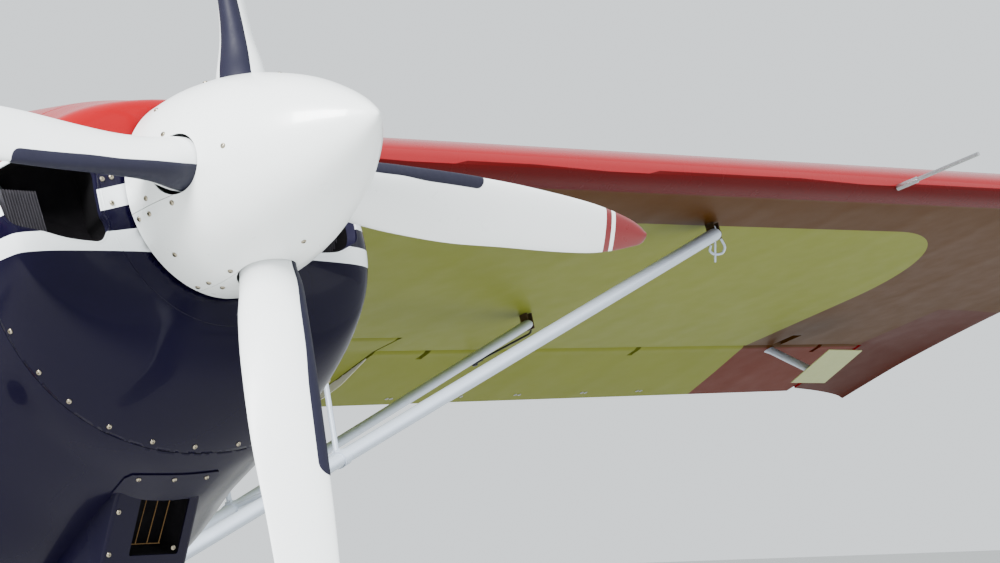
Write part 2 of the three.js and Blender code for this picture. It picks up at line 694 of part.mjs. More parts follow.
function makeWing(side) {
  let body = loft(spanRows.map(wingRing)).trimByPlane(portward.toArray(), span.root);
  body = body.subtract(bay(flap, span.flapFrom - 8, span.flapTo + 7));
  body = body.subtract(bay(aileron, span.aileronFrom - 7, span.aileronTo + 8));
  body = body.add(wingLugs(flap, wingLug.flapAt)).add(wingLugs(aileron, wingLug.aileronAt));
  body = body.subtract(box(spade.slotFrom, spade.slotTo, spade.slotFront, 1300, -90, 24));
  return part(`wing_${side}`, body, paint.red);
}

const makeFlap = (side) =>
  part(`flap_${side}`, surfaceSolid(flap, span.flapFrom, span.flapTo, wingLug.flapAt), paint.cream);

// The aileron carries a flat balance plate on an arm below its nose
function makeAileron(side) {
  const down = new THREE.Matrix4().copy(wingFrame).invert();
  const local = (x, y, z) => point(x, y, z).applyMatrix4(down);
  const arm = bar(local(4630, 2680, 590), local(4622, 2430, 444), 9, 8);
  const plate = loft([spade.from, spade.to].map((x) => [
    local(x, 2510, 416), local(x, 2510, 420), local(x, 2335, 478), local(x, 2335, 474),
  ]));
  const surface = surfaceSolid(aileron, span.aileronFrom, span.aileronTo, wingLug.aileronAt);
  return part(`aileron_${side}`, surface.add(arm).add(plate), paint.red);
}

// Streamlined lift strut; a wider one cuts its seat in what is clamped round it
const strutLines = {
  front: [point(strutFoot.x - 30, strutFoot.front, strut.lowZ), point(strut.topX, strut.topFront, 556)],
  rear: [point(strutFoot.x - 30, strutFoot.rear, strut.lowZ), point(strut.topX, strut.topRear, 522)],
};
function streamlined([from, to], chord, thick) {
  const along = to.clone().sub(from).normalize();
  const back = point(0, 1, 0).addScaledVector(along, -along.y).normalize();
  const up = back.clone().cross(along);
  const ring = (at) =>
    Array.from({ length: 12 }, (_, i) => {
      const angle = ((i + 0.5) * Math.PI) / 6;
      const u = -Math.cos(angle) * (chord / 2);
      const v = Math.sin(angle) * (thick / 2) * (1 + 0.22 * Math.cos(angle));
      return at.clone().addScaledVector(back, u).addScaledVector(up, v);
    });
  return loft([ring(from), ring(to)]);
}
const onStrut = (line, x) => line[0].clone().lerp(line[1], (x - line[0].x) / (line[1].x - line[0].x));
const beyond = (line, past) => {
  const along = line[1].clone().sub(line[0]).normalize();
  return [line[0], line[1].clone().addScaledVector(along, past)];
};
// Everything above the wing's lower face
const aboveWing = (gap) => moved(box(0, 6000, -100, 1700, -gap, 900), wingFrame);

function makeStruts(side) {
  const pieces = ["front", "rear"].map((place) => {
    const whole = streamlined(beyond(strutLines[place], 120), strut.chord, strut.thick);
    const cut = whole.subtract(aboveWing(seat)).trimByPlane([1, 0, 0], strutFoot.x + seat);
    return part(`lift_strut_${place}_${side}`, cut, paint.silver);
  });
  const fat = (line) => streamlined(beyond(line, 120), strut.chord + 2 * seat, strut.thick + 2 * seat);
  const feet = [];
  const bodies = Object.values(strutLines).flatMap((line) => {
    const foot = onStrut(line, jury.x);
    feet.push(foot);
    const around = [onStrut(line, jury.x - jury.clamp / 2), onStrut(line, jury.x + jury.clamp / 2)];
    const clamp = streamlined(around, strut.chord + 4 * jury.wall, strut.thick + 2 * jury.wall);
    return [clamp, bar(foot, point(foot.x + jury.topShift, foot.y, 700), jury.radius)];
  });
  bodies.push(bar(feet[0], feet[1], jury.radius));
  const braces = joined(bodies).subtract(aboveWing(seat)).subtract(fat(strutLines.front));
  const seated = largest(braces.subtract(fat(strutLines.rear)));
  return [...pieces, part(`jury_strut_${side}`, seated, paint.silver)];
}

function makePitot() {
  const root = point(3690, 1368, 648);
  const tube = bar(root, point(3690, 1088, 651), 6, 10).add(bar(root, point(3690, 1300, 648.5), 9, 10));
  const nose = moved(loft(spanRows.slice(0, 2).map(wingRing)), wingFrame);
  return part("pitot_tube", largest(tube.translate([0, -seat, 0]).subtract(nose)), paint.metal);
}

// Main gear: a covered V leg with its axle, a shock strut to the belly, wheel and tyre
function makeLeg(side) {
  const low = point(790, wheel.y, wheel.z + 10);
  const top = cabin.floor + 60;
  const corner = (y, x) => point(x, y, top);
  const ring = (dx) => [
    corner(leg.front, leg.topX).add(point(dx, 0, 0)), corner(leg.rear, leg.topX).add(point(dx, 0, 0)),
    low.clone().add(point(dx, 70, 0)), low.clone().add(point(dx, -50, 0)),
  ];
  const cover = loft([ring(0), ring(-leg.thick)]);
  const axle = bar(point(755, wheel.y, wheel.z), point(wheel.x + 92, wheel.y, wheel.z), wheel.axle, 20);
  const foot = box(750, 806, wheel.y - 45, wheel.y + 65, wheel.z - 30, wheel.z + 60);
  const shock = bar(point(0, wheel.y, -668), point(760, wheel.y, wheel.z + 20), 24, 10);
  const body = joined([cover, axle, foot, shock])
    .trimByPlane([0, 0, -1], -(cabin.floor - seat))
    .trimByPlane([1, 0, 0], 46 + seat);
  return part(`gear_leg_${side}`, largest(body), paint.red);
}

function makeCabane() {
  const belly = cabin.floor - seat;
  const apex = box(-46, 46, wheel.y - 34, wheel.y + 34, -700, -636);
  const tubes = [-1, 1].map((side) => bar(point(side * 230, wheel.y, -530), point(0, wheel.y, -670), 16));
  const body = joined([apex, ...tubes]).trimByPlane([0, 0, -1], -belly);
  return part("gear_cabane", body, paint.silver);
}

function makeWheel(side) {
  const { bore } = wheel;
  const rows = [
    [bore, -60], [58, -60], [60, -34], [118, -34], [124, -78], [tyre.rim, -78], [tyre.rim - 8, -60],
    [tyre.rim - 8, 60], [tyre.rim, 78], [124, 78], [118, 34], [60, 34], [58, 68], [bore, 68], [bore, -60],
  ];
  const rim = moved(turnedAboutY(rows, 24), yToX);
  const mesh = part(`wheel_${side}`, rim, paint.white);
  mesh.position.set(wheel.x, wheel.y, wheel.z);
  return mesh;
}

function makeTyre(side) {
  const inside = tyre.rim + seat;
  const edge = tyre.width / 2;
  const rows = [
    [inside, -76], [inside + 14, -92], [inside + 60, -edge], [tyre.radius - 45, -edge + 4],
    [tyre.radius - 14, -edge + 30], [tyre.radius, -edge + 62], [tyre.radius, edge - 62],
    [tyre.radius - 14, edge - 30], [tyre.radius - 45, edge - 4], [inside + 60, edge],
    [inside + 14, 92], [inside, 76], [inside, -76],
  ];
  const mesh = part(`tyre_${side}`, moved(turnedAboutY(rows, 32), yToX), paint.rubber);
  mesh.position.set(wheel.x, wheel.y, wheel.z);
  return mesh;
}

// Tail: fin, rudder, tailplane halves with their stays, and one elevator through the sternpost
function upright(rows, thick) {
  // rows: z, front, back; the front is rounded and the back is square
  return loft(rows.map(([z, front, back]) => {
    const round = Math.min(thick, (back - front) / 3);
    return [
      point(-1, front, z), point(-thick / 2, front + round, z), point(-thick / 2, back, z),
      point(thick / 2, back, z), point(thick / 2, front + round, z), point(1, front, z),
    ];
  }));
}

// columns: height, leading edge
const finRows = [
  [fin.root, 5150], [300, 5400], [700, 5665], [1010, 5850], [fin.top, 5980],
];
const finSolid = (by) => upright(
  finRows.map(([z, front]) => [z, front - by, tail.hinge - fin.gap + by]),
  fin.thick + 2 * by,
);
function makeFin() {
  const { width, radius, rudderAt } = tailLug;
  const lugs = rudderAt.map((z) => {
    const [low, high] = [z - width / 2, z + width / 2];
    const pin = bar(point(0, tail.hinge, low), point(0, tail.hinge, high), radius, 12);
    return box(-radius, radius, tail.hinge - 50, tail.hinge, low, high).add(pin);
  });
  const body = largest(finSolid(0).subtract(tailSolid(seat)));
  return part("fin", body.add(joined(lugs)), paint.red);
}

function makeRudder() {
  // columns: height, trailing edge
  const rows = [
    [-50, 6330], [60, 6440], [300, 6560], [620, 6600], [900, 6560], [1060, 6440], [1135, 6290],
  ];
  const rings = rows.map(([z, back]) => {
    const nose = [10, 35, 65, 90].map((degrees) => radians(degrees));
    const r = tail.noseRadius;
    const left = nose.map((a) => point(r * Math.sin(a), tail.hinge - r * Math.cos(a), z));
    const right = nose.map((a) => point(-r * Math.sin(a), tail.hinge - r * Math.cos(a), z));
    return [...left, point(3, back, z), point(-3, back, z), ...right.reverse()];
  });
  const { width, radius, clear, rudderAt } = tailLug;
  const notches = rudderAt.map((z) =>
    box(-50, 50, tail.hinge - 50, tail.hinge + radius + clear, z - width / 2 - seat, z + width / 2 + seat));
  return part("rudder", loft(rings).subtract(joined(notches)), paint.red);
}

function makeTailplane(side) {
  const back = plane.hinge - plane.noseRadius - 9;
  // columns: x, front, thickness
  const rows = [[30, 5330, 1], [500, 5392, 1], [1100, 5475, 0.9], [1400, 5560, 0.7], [plane.tip, 5720, 0.4]];
  const rings = rows.map(([x, front, share]) => {
    const half = (plane.thick / 2) * share;
    return [
      point(x, front, plane.z + 1), point(x, front + 40, plane.z + half), point(x, back, plane.z + half),
      point(x, back, plane.z - half), point(x, front + 40, plane.z - half), point(x, front, plane.z - 1),
    ];
  });
  const stays = [
    bar(point(860, 5730, plane.z), point(0, 5850, 730), 4, 6),
    bar(point(860, 5730, plane.z), point(0, 5800, -60), 4, 6),
  ];
  const { width, radius, elevatorAt } = tailLug;
  const lugs = elevatorAt.map((x) => {
    const [inner, outer] = [x - width / 2, x + width / 2];
    const pin = bar(point(inner, plane.hinge, plane.z), point(outer, plane.hinge, plane.z), radius, 12);
    return box(inner, outer, back - 20, plane.hinge, plane.z - radius, plane.z + radius).add(pin);
  });
  const body = joined([loft(rings), ...lugs, ...stays]);
  const cut = body.subtract(tailSolid(seat)).subtract(finSolid(seat));
  return part(`tailplane_${side}`, largest(cut), paint.red);
}

function makeElevator() {
  // columns: x, trailing edge
  const rows = [[86, 6080], [250, 6400], [700, 6420], [1200, 6400], [1440, 6330], [plane.tip + 20, 6190]];
  const nose = [10, 35, 65, 90].map((degrees) => radians(degrees));
  const r = plane.noseRadius;
  const rings = rows.map(([x, back]) => {
    const upper = nose.map((a) => point(x, plane.hinge - r * Math.cos(a), plane.z + r * Math.sin(a)));
    const lower = nose.map((a) => point(x, plane.hinge - r * Math.cos(a), plane.z - r * Math.sin(a)));
    return [...upper, point(x, back, plane.z + 3), point(x, back, plane.z - 3), ...lower.reverse()];
  });
  const { width, radius, clear, elevatorAt } = tailLug;
  const notches = elevatorAt.map((x) =>
    box(x - width / 2 - seat, x + width / 2 + seat, plane.hinge - 50, plane.hinge + radius + clear, 0, 300));
  const half = loft(rings).subtract(joined(notches));
  const tube = bar(point(-120, plane.hinge, plane.z), point(120, plane.hinge, plane.z), 13, 12);
  return part("elevator", joined([half, half.mirror([1, 0, 0]), tube]), paint.red);
}

// Tailwheel: a leaf spring from the sternpost, a castering fork and a small wheel
const slope = radians(parkedPitch);
const groundLine = -wheel.y * Math.sin(slope) + wheel.z * Math.cos(slope) - tyre.radius;
const tailAxleZ = (groundLine + tailwheel.radius + tailwheel.y * Math.sin(slope)) / Math.cos(slope);
// Directions that are upright and level once the aircraft stands on its wheels
const plumb = point(0, -Math.sin(slope), Math.cos(slope));
const level = point(0, Math.cos(slope), Math.sin(slope));
const tailAxle = point(0, tailwheel.y, tailAxleZ);
const casterAt = (height) =>
  tailAxle.clone().addScaledVector(level, -tailwheel.trail).addScaledVector(plumb, height);

function makeTailSpring() {
  const head = casterAt(134);
  const thick = 7;
  // columns: y, z of the leaf's lower face, half width
  const rows = [[5720, -138, 26], [5860, -134, 26], [6000, -122, 24], [head.y - 40, head.z - 8, 22]];
  const rings = rows.map(([y, z, half]) => [
    point(-half, y, z), point(half, y, z), point(half, y, z + thick), point(-half, y, z + thick),
  ]);
  const top = casterAt(148);
  const boss = bar(casterAt(119), top, 26, 16);
  const pad = box(-24, 24, 5725, 5790, -136, -60);
  const link = bar(point(0, 6000, -119), casterAt(134), 9, 8);
  const body = joined([loft(rings), boss, link, pad]).subtract(tailSolid(seat));
  return part("tail_spring", largest(body), paint.black);
}

function makeFork() {
  const crown = bar(casterAt(108), casterAt(119 - seat), 30, 16);
  const arms = [-1, 1].flatMap((side) => {
    const x = side * (tailwheel.width / 2 + 13);
    const shoulder = casterAt(109).add(point(x, 0, 0));
    const foot = tailAxle.clone().add(point(x, 0, 0));
    return [bar(shoulder, foot, 8, 8)];
  });
  const reach = tailwheel.width / 2 + 20;
  const across = point(reach, 0, 0);
  const beam = bar(casterAt(109).sub(across), casterAt(109).add(across), 8, 8);
  const axle = bar(tailAxle.clone().sub(across), tailAxle.clone().add(across), 8, 12);
  return part("tailwheel_fork", joined([crown, ...arms, beam, axle]), paint.black);
}

function makeTailwheel() {
  const { radius, width } = tailwheel;
  const edge = width / 2;
  const rows = [
    [9, -22], [30, -22], [34, -14], [56, -14], [60, -edge + 4], [74, -edge], [90, -edge + 6],
    [radius, -edge + 20], [radius, edge - 20], [90, edge - 6], [74, edge], [60, edge - 4],
    [56, 14], [34, 14], [30, 22], [9, 22], [9, -22],
  ];
  const mesh = part("tailwheel", moved(turnedAboutY(rows, 20), yToX), paint.rubber);
  mesh.position.copy(tailAxle);
  return mesh;
}

// Assembly
const aircraft = new THREE.Group();
const body = new THREE.Group();
aircraft.add(body);

const propellerGroup = new THREE.Group();
propellerGroup.rotation.y = radians(propeller.clocking);
propellerGroup.add(makeSpinner(), makeHub());
for (let i = 0; i < propeller.blades; i += 1) propellerGroup.add(makeBlade(i));
body.add(propellerGroup, ...makeCowling(), makeEngine(), makeExhaust());
body.add(makeBoot(), makeCabin(), ...makeSideGlass(), ...makeDoors(), ...makeRoof(), makeWindscreen());
body.add(makePanel(), makeSeat("seat_front", 1590), makeSeat("seat_rear", 2270), makeSticks());
body.add(makeTailCone(), makeFin(), makeRudder(), makeElevator(), makePitot(), makeCabane());
body.add(makeTailSpring(), makeFork(), makeTailwheel());

for (const side of ["left", "right"]) {
  const half = new THREE.Group();
  half.scale.x = side === "left" ? 1 : -1;
  const wingGroup = new THREE.Group();
  wingGroup.applyMatrix4(wingFrame);
  wingGroup.add(makeWing(side), makeFlap(side), makeAileron(side));
  half.add(wingGroup, ...makeStruts(side), makeLeg(side), makeWheel(side), makeTyre(side));
  half.add(makeTailplane(side));
  body.add(half);
}

// Set down nose-up, with the origin on the ground under the middle
body.rotation.x = -slope;
const bounds = new THREE.Box3().setFromObject(aircraft, true);
const centre = bounds.getCenter(point(0, 0, 0));
body.position.set(-centre.x, -centre.y, -bounds.min.z);

export default aircraft;
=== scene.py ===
"""Dresses a high-wing, four-blade light aircraft that stands on its tailwheel gear.

The solid model is loaded as a fixed frame. Every class below builds one sub-assembly around it in
the aircraft's own body frame, in metres: origin at the propeller hub, X to port, Y aft along the
thrust line, Z up. PLACE sets that frame into the row frame.
"""

import json
import logging
import math
from dataclasses import dataclass, field
from enum import Enum
from typing import Callable, Iterable, Sequence

import bmesh
import bpy
import numpy as np
from mathutils import Matrix, Vector
from mathutils.bvhtree import BVHTree
from mathutils.interpolate import poly_3d_calc


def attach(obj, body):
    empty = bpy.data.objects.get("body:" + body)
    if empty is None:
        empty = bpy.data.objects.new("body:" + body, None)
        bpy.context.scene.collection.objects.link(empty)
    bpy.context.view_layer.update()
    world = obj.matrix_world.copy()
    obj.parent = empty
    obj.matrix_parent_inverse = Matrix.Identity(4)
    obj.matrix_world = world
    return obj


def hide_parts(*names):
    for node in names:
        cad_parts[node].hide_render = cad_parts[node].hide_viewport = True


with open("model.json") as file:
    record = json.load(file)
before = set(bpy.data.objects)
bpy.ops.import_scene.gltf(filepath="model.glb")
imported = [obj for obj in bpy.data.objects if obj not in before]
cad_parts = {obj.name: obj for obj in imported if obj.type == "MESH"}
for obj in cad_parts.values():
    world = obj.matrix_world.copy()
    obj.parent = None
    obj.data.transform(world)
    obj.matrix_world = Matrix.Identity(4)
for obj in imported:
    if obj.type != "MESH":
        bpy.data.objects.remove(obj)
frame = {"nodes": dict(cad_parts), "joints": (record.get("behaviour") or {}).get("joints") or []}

LOG = logging.getLogger("aircraft")
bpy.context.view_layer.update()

SPIN = next(joint for joint in frame["joints"] if joint["name"] == "propeller_spin")
HUB = Vector(SPIN["pos_m"])
PORT = Vector((1.0, 0.0, 0.0))
AFT = -Vector(SPIN["axis"]).normalized()
UP = PORT.cross(AFT)
PLACE = Matrix.Translation(HUB) @ Matrix((PORT, AFT, UP)).transposed().to_4x4()

Point = Sequence[float]
Ring = Sequence[Point]
Rgb = tuple[float, float, float]
Settings = dict[str | int, object] | None
MIRROR = Matrix.Scale(-1.0, 4, PORT)

# The wing's nose at the centre line, as y and z, and how the wing is set
WING_NOSE = (1.363, 0.519)
INCIDENCE = math.radians(2.7)
DIHEDRAL = math.radians(1.4)
# How far round the propeller stands
CLOCKING = math.radians(3.64)
# The room on each side of a hinge lug in its notch
NOTCH_ROOM = 0.0003


class Side(Enum):
    """The two sides of the aircraft, by the sign of X in the body frame."""

    LEFT = 1
    RIGHT = -1

    @property
    def word(self) -> str:
        """The side's name as the pieces have it."""
        return self.name.lower()

    @property
    def matrix(self) -> Matrix:
        """Takes a port-side form to this side, in the body frame."""
        return Matrix.Identity(4) if self is Side.LEFT else MIRROR


def srgb(red: int, green: int, blue: int) -> Rgb:
    """A colour of 0 to 255 as linear light."""
    shares = [part / 255 for part in (red, green, blue)]
    return tuple(c / 12.92 if c < 11 / 255 else ((c + 0.055) / 1.055) ** 2.4 for c in shares)


def round_steps(count: int) -> list[float]:
    """Angles at even steps round a circle."""
    return [2 * math.pi * i / count for i in range(count)]


def running(steps: Sequence[float]) -> np.ndarray:
    """The sum of the steps up to each of their ends, from 0."""
    return np.concatenate([[0.0], np.cumsum(steps)])


def hold(name: str, data: bpy.types.ID) -> bpy.types.Object:
    """Makes an object of a mesh, a lamp or a camera and puts it in the scene."""
    thing = bpy.data.objects.new(name, data)
    bpy.context.scene.collection.objects.link(thing)
    return thing


def smooth(rows: Sequence[Sequence[float]], at: Iterable[float]) -> np.ndarray:
    """Reads a table between its rows on a monotone cubic.

    Args:
        rows: Rows of numbers; the first column is the one that runs.
        at: Places along the first column.

    Returns:
        One row for each place, with the other columns.
    """
    table = np.array(rows, float)
    run, value = table[:, 0], table[:, 1:]
    step = np.diff(run)[:, None]
    rise = np.diff(value, axis=0) / step
    slope = np.zeros_like(value)
    slope[0], slope[-1] = rise[0], rise[-1]
    near, far = 2 * step[1:] + step[:-1], step[1:] + 2 * step[:-1]
    same = rise[:-1] * rise[1:] > 1e-12
    safe = np.where(same, rise[:-1], 1.0), np.where(same, rise[1:], 1.0)
    slope[1:-1] = np.where(same, (near + far) / (near / safe[0] + far / safe[1]), 0.0)
    place = np.asarray(list(at), float)
    index = np.clip(np.searchsorted(run, place, side="right") - 1, 0, len(run) - 2)
    span = (run[index + 1] - run[index])[:, None]
    share = ((place - run[index])[:, None]) / span
    square, cube = share**2, share**3
    return (
        (2 * cube - 3 * square + 1) * value[index]
        + (cube - 2 * square + share) * span * slope[index]
        + (3 * square - 2 * cube) * value[index + 1]
        + (cube - square) * span * slope[index + 1]
    )


def along(rows: Sequence[Sequence[float]], count: int, columns: tuple[int, int] = (0, 1)) -> np.ndarray:
    """Reads a table at even steps of the length of the line that two of its columns draw.

    Args:
        rows: Rows of numbers.
        count: How many rows to return.
        columns: The two columns whose line is measured.

    Returns:
        The rows, with every column.
    """
    table = np.array(rows, float)
    line = table[:, list(columns)]
    run = running(np.linalg.norm(np.diff(line, axis=0), axis=1))
    return smooth(np.column_stack([run, table]), np.linspace(0.0, run[-1], count))


class Shape:
    """A mesh in the making, in metres."""

    def __init__(self) -> None:
        """Starts with nothing in it."""
        self.points: list[Vector] = []
        self.faces: list[tuple[int, ...]] = []
        self.finishes: list[int] = []

    def add(self, points: Iterable[Point], faces: Iterable[Sequence[int]], finish: int = 0) -> "Shape":
        """Adds points, and faces that count them from 0."""
        base = len(self.points)
        self.points.extend(Vector(point) for point in points)
        for face in faces:
            self.faces.append(tuple(base + i for i in face))
            self.finishes.append(finish)
        return self

    def skin(self, rings: Sequence[Ring], ends: bool = True, wrap: bool = False, finish: int = 0) -> "Shape":
        """Covers a row of closed rings.

        Args:
            rings: Rings with the same number of points.
            ends: Whether the first and last rings get a face.
            wrap: Whether the last ring also meets the first.
            finish: The index of the skin's finish.

        Returns:
            The shape itself.
        """
        count, rows = len(rings[0]), len(rings)
        faces: list[Sequence[int]] = []
        for row in range(rows if wrap else rows - 1):
            here, there = row * count, ((row + 1) % rows) * count
            for i in range(count):
                j = (i + 1) % count
                faces.append((here + i, here + j, there + j, there + i))
        if ends and not wrap:
            faces.append(tuple(reversed(range(count))))
            faces.append(tuple(range((rows - 1) * count, rows * count)))
        return self.add([point for ring in rings for point in ring], faces, finish)

    def sheet(self, rows: Sequence[Ring], finish: int = 0) -> "Shape":
        """Covers rows of points that don't close on themselves."""
        count = len(rows[0])
        faces = [
            (r * count + i, r * count + i + 1, (r + 1) * count + i + 1, (r + 1) * count + i)
            for r in range(len(rows) - 1)
            for i in range(count - 1)
        ]
        return self.add([point for row in rows for point in row], faces, finish)

    def turned(
        self, rows: Sequence[Sequence[float]], at: Point, axis: Point, sides: int = 32,
        wrap: bool = False, finish: int = 0,
    ) -> "Shape":
        """Turns a profile about an axis.

        Args:
            rows: Pairs of radius and place along the axis.
            at: The axis's zero point.
            axis: The axis's direction.
            sides: Number of steps round.
            wrap: Whether the profile closes on itself.
            finish: The index of the skin's finish.

        Returns:
            The shape itself.
        """
        turn = Vector(axis).normalized().to_track_quat("Z", "Y").to_matrix()
        rings = []
        for radius, height in rows:
            ring = [Vector((radius * math.cos(a), radius * math.sin(a), height)) for a in round_steps(sides)]
            rings.append([Vector(at) + turn @ point for point in ring])
        return self.skin(rings, ends=not wrap, wrap=wrap, finish=finish)

    def tube(
        self, path: Sequence[Point], radius: float, sides: int = 12, closed: bool = False, finish: int = 0,
    ) -> "Shape":
        """Runs a round tube along a path, with no twist."""
        line = [Vector(point) for point in path]
        last = len(line) - 1
        rings = []
        side = None
        for i, here in enumerate(line):
            before = line[i - 1] if i or closed else here
            after = line[(i + 1) % len(line)] if i < last or closed else here
            ahead = (after - before).normalized()
            if side is None:
                side = ahead.orthogonal()
            side = (side - ahead * side.dot(ahead)).normalized()
            across = ahead.cross(side)
            steps = round_steps(sides)
            rings.append([here + radius * (math.cos(a) * side + math.sin(a) * across) for a in steps])
        return self.skin(rings, ends=not closed, wrap=closed, finish=finish)

    def block(self, low: Point, high: Point, finish: int = 0) -> "Shape":
        """Adds a box between two corners."""
        corners = [(x, y, z) for z in (low[2], high[2]) for y in (low[1], high[1]) for x in (low[0], high[0])]
        faces = [(0, 2, 3, 1), (4, 5, 7, 6), (0, 1, 5, 4), (2, 6, 7, 3), (0, 4, 6, 2), (1, 3, 7, 5)]
        return self.add(corners, faces, finish)

    def prism(self, outline: Ring, push: Point, finish: int = 0) -> "Shape":
        """Pushes a flat outline along a vector."""
        near = [Vector(point) for point in outline]
        return self.skin([near, [point + Vector(push) for point in near]], finish=finish)

    def join(self, other: "Shape", matrix: Matrix | None = None, finish: int | None = None) -> "Shape":
        """Takes in another shape, moved by a matrix, in its own finishes or in one."""
        base = len(self.points)
        self.points.extend((matrix @ p) if matrix else p.copy() for p in other.points)
        self.faces.extend(tuple(base + i for i in face) for face in other.faces)
        self.finishes.extend(other.finishes if finish is None else [finish] * len(other.faces))
        return self

    def mesh(self, name: str, place: Matrix, sharp: float) -> bpy.types.Mesh:
        """The shape as a mesh with its faces out, smooth but for edges over an angle.

        Args:
            name: The mesh's name.
            place: Takes the shape into the row frame.
            sharp: The angle in degrees.

        Returns:
            The mesh.
        """
        mesh = bpy.data.meshes.new(name)
        mesh.from_pydata([place @ point for point in self.points], [], self.faces)
        mesh.polygons.foreach_set("material_index", self.finishes)
        edit = bmesh.new()
        edit.from_mesh(mesh)
        bmesh.ops.remove_doubles(edit, verts=edit.verts, dist=1e-6)
        bmesh.ops.recalc_face_normals(edit, faces=edit.faces)
        sharpen(edit, sharp)
        edit.to_mesh(mesh)
        edit.free()
        return mesh


def sharpen(edit: bmesh.types.BMesh, sharp: float) -> None:
    """Shades every face smooth and marks the edges over an angle as sharp."""
    for face in edit.faces:
        face.smooth = True
    for edge in edit.edges:
        edge.smooth = edge.calc_face_angle(0.0) < math.radians(sharp)


class Probe:
    """Finds points on a shape's surface, in the shape's own frame."""

    def __init__(self, shape: Shape) -> None:
        """Keeps the shape's faces ready to be hit."""
        self.tree = BVHTree.FromPolygons(shape.points, shape.faces)

    def hit(self, start: Point, direction: Point) -> tuple[Vector, Vector]:
        """Where a ray meets the surface, and the surface's direction there, facing the ray."""
        aim = Vector(direction).normalized()
        place, normal, _, _ = self.tree.ray_cast(Vector(start), aim)
        if place is None:
            raise ValueError(f"no surface from {tuple(start)} along {tuple(direction)}")
        return place, (normal if normal.dot(aim) < 0 else -normal)


def settle(piece: bpy.types.Object) -> bpy.types.Object:
    """Works a piece's modifiers into its mesh."""
    graph = bpy.context.evaluated_depsgraph_get()
    mesh = bpy.data.meshes.new_from_object(piece.evaluated_get(graph))
    piece.modifiers.clear()
    piece.data = mesh
    return piece


def cut(
    piece: bpy.types.Object, cutter: Shape, place: Matrix = PLACE, sharp: float = 30.0,
) -> bpy.types.Object:
    """Cuts a shape out of a piece and keeps the smooth shading of what is left.

    Args:
        piece: The piece to cut.
        cutter: Closed bodies that don't touch each other.
        place: Takes the cutter into the row frame.
        sharp: The angle in degrees over which new edges are sharp.

    Returns:
        The piece.
    """
    before = piece.data
    corners = [tuple(face.vertices) for face in before.polygons]
    places = [vertex.co.copy() for vertex in before.vertices]
    source = BVHTree.FromPolygons(places, corners)
    shading = [loop.vector.copy() for loop in before.corner_normals]
    starts = [face.loop_start for face in before.polygons]
    tool = hold("cutter", cutter.mesh("cutter", place, sharp))
    change = piece.modifiers.new("cut", "BOOLEAN")
    change.object = tool
    change.operation = "DIFFERENCE"
    change.solver = "EXACT"
    settle(piece)
    bpy.data.objects.remove(tool)
    mesh = piece.data
    edit = bmesh.new()
    edit.from_mesh(mesh)
    sharpen(edit, sharp)
    edit.to_mesh(mesh)
    edit.free()
    normals = [(0.0, 0.0, 0.0)] * len(mesh.loops)
    for face in mesh.polygons:
        for index in face.loop_indices:
            point = mesh.vertices[mesh.loops[index].vertex_index].co
            found, normal, old, distance = source.find_nearest(point)
            if found is None or distance > 2e-5 or normal.dot(face.normal) < 0.9:
                continue
            weights = poly_3d_calc([places[i] for i in corners[old]], found)
            mixed = Vector()
            for k, weight in enumerate(weights):
                mixed += shading[starts[old] + k] * weight
            normals[index] = tuple(mixed.normalized())
    mesh.normals_split_custom_set(normals)
    return piece


def make(
    shape: Shape, name: str, body: str, finishes: Sequence["Finish"], replaces: Sequence[str] = (),
    place: Matrix = PLACE, sharp: float = 35.0, wall: float = 0.0, bevel: float = 0.0,
) -> bpy.types.Object:
    """Makes a piece of a shape and lets it ride.

    Args:
        shape: The form.
        name: The piece's name.
        body: The body that it rides on.
        finishes: The finishes that the shape's faces count.
        replaces: Nodes of the solid model that it stands for.
        place: Takes the shape into the row frame.
        sharp: The angle in degrees over which an edge is sharp.
        wall: Thickness that an open sheet gets on its inner side.
        bevel: Width of the small rounding on its sharp edges.

    Returns:
        The piece.
    """
    piece = hold(name, shape.mesh(name, place, sharp))
    for finish in finishes:
        piece.data.materials.append(finish.material())
    if wall:
        thicken = piece.modifiers.new("wall", "SOLIDIFY")
        thicken.thickness = wall
        thicken.offset = -1.0
        settle(piece)
    if bevel:
        soften(piece, bevel)
    return enter(piece, body, replaces)


def enter(piece: bpy.types.Object, body: str, replaces: Sequence[str] = ()) -> bpy.types.Object:
    """Lets a finished piece ride on its body and stand for the nodes that it replaces."""
    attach(piece, body)
    if replaces:
        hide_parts(*replaces)
    LOG.info("%s rides on %s with %d faces", piece.name, body, len(piece.data.polygons))
    return piece


def soften(piece: bpy.types.Object, width: float, angle: float = 30.0) -> None:
    """Rounds a piece's sharp edges a little, by modifiers."""
    weld = piece.modifiers.new("weld", "WELD")
    weld.merge_threshold = 1e-5
    rounding = piece.modifiers.new("rounding", "BEVEL")
    rounding.width = width
    rounding.segments = 2
    rounding.limit_method = "ANGLE"
    rounding.angle_limit = math.radians(angle)
    rounding.harden_normals = True


def operator(name: str, swapped: bool = False) -> "Callable[..., Value]":
    """A method that adds a Math node, with the other term first where they are swapped."""

    def method(value: "Value", *others: "Value | float") -> "Value":
        """Adds the node on the value and the other term, if there is one."""
        return value.math(name, *((*others, value) if swapped else (value, *others)))

    return method


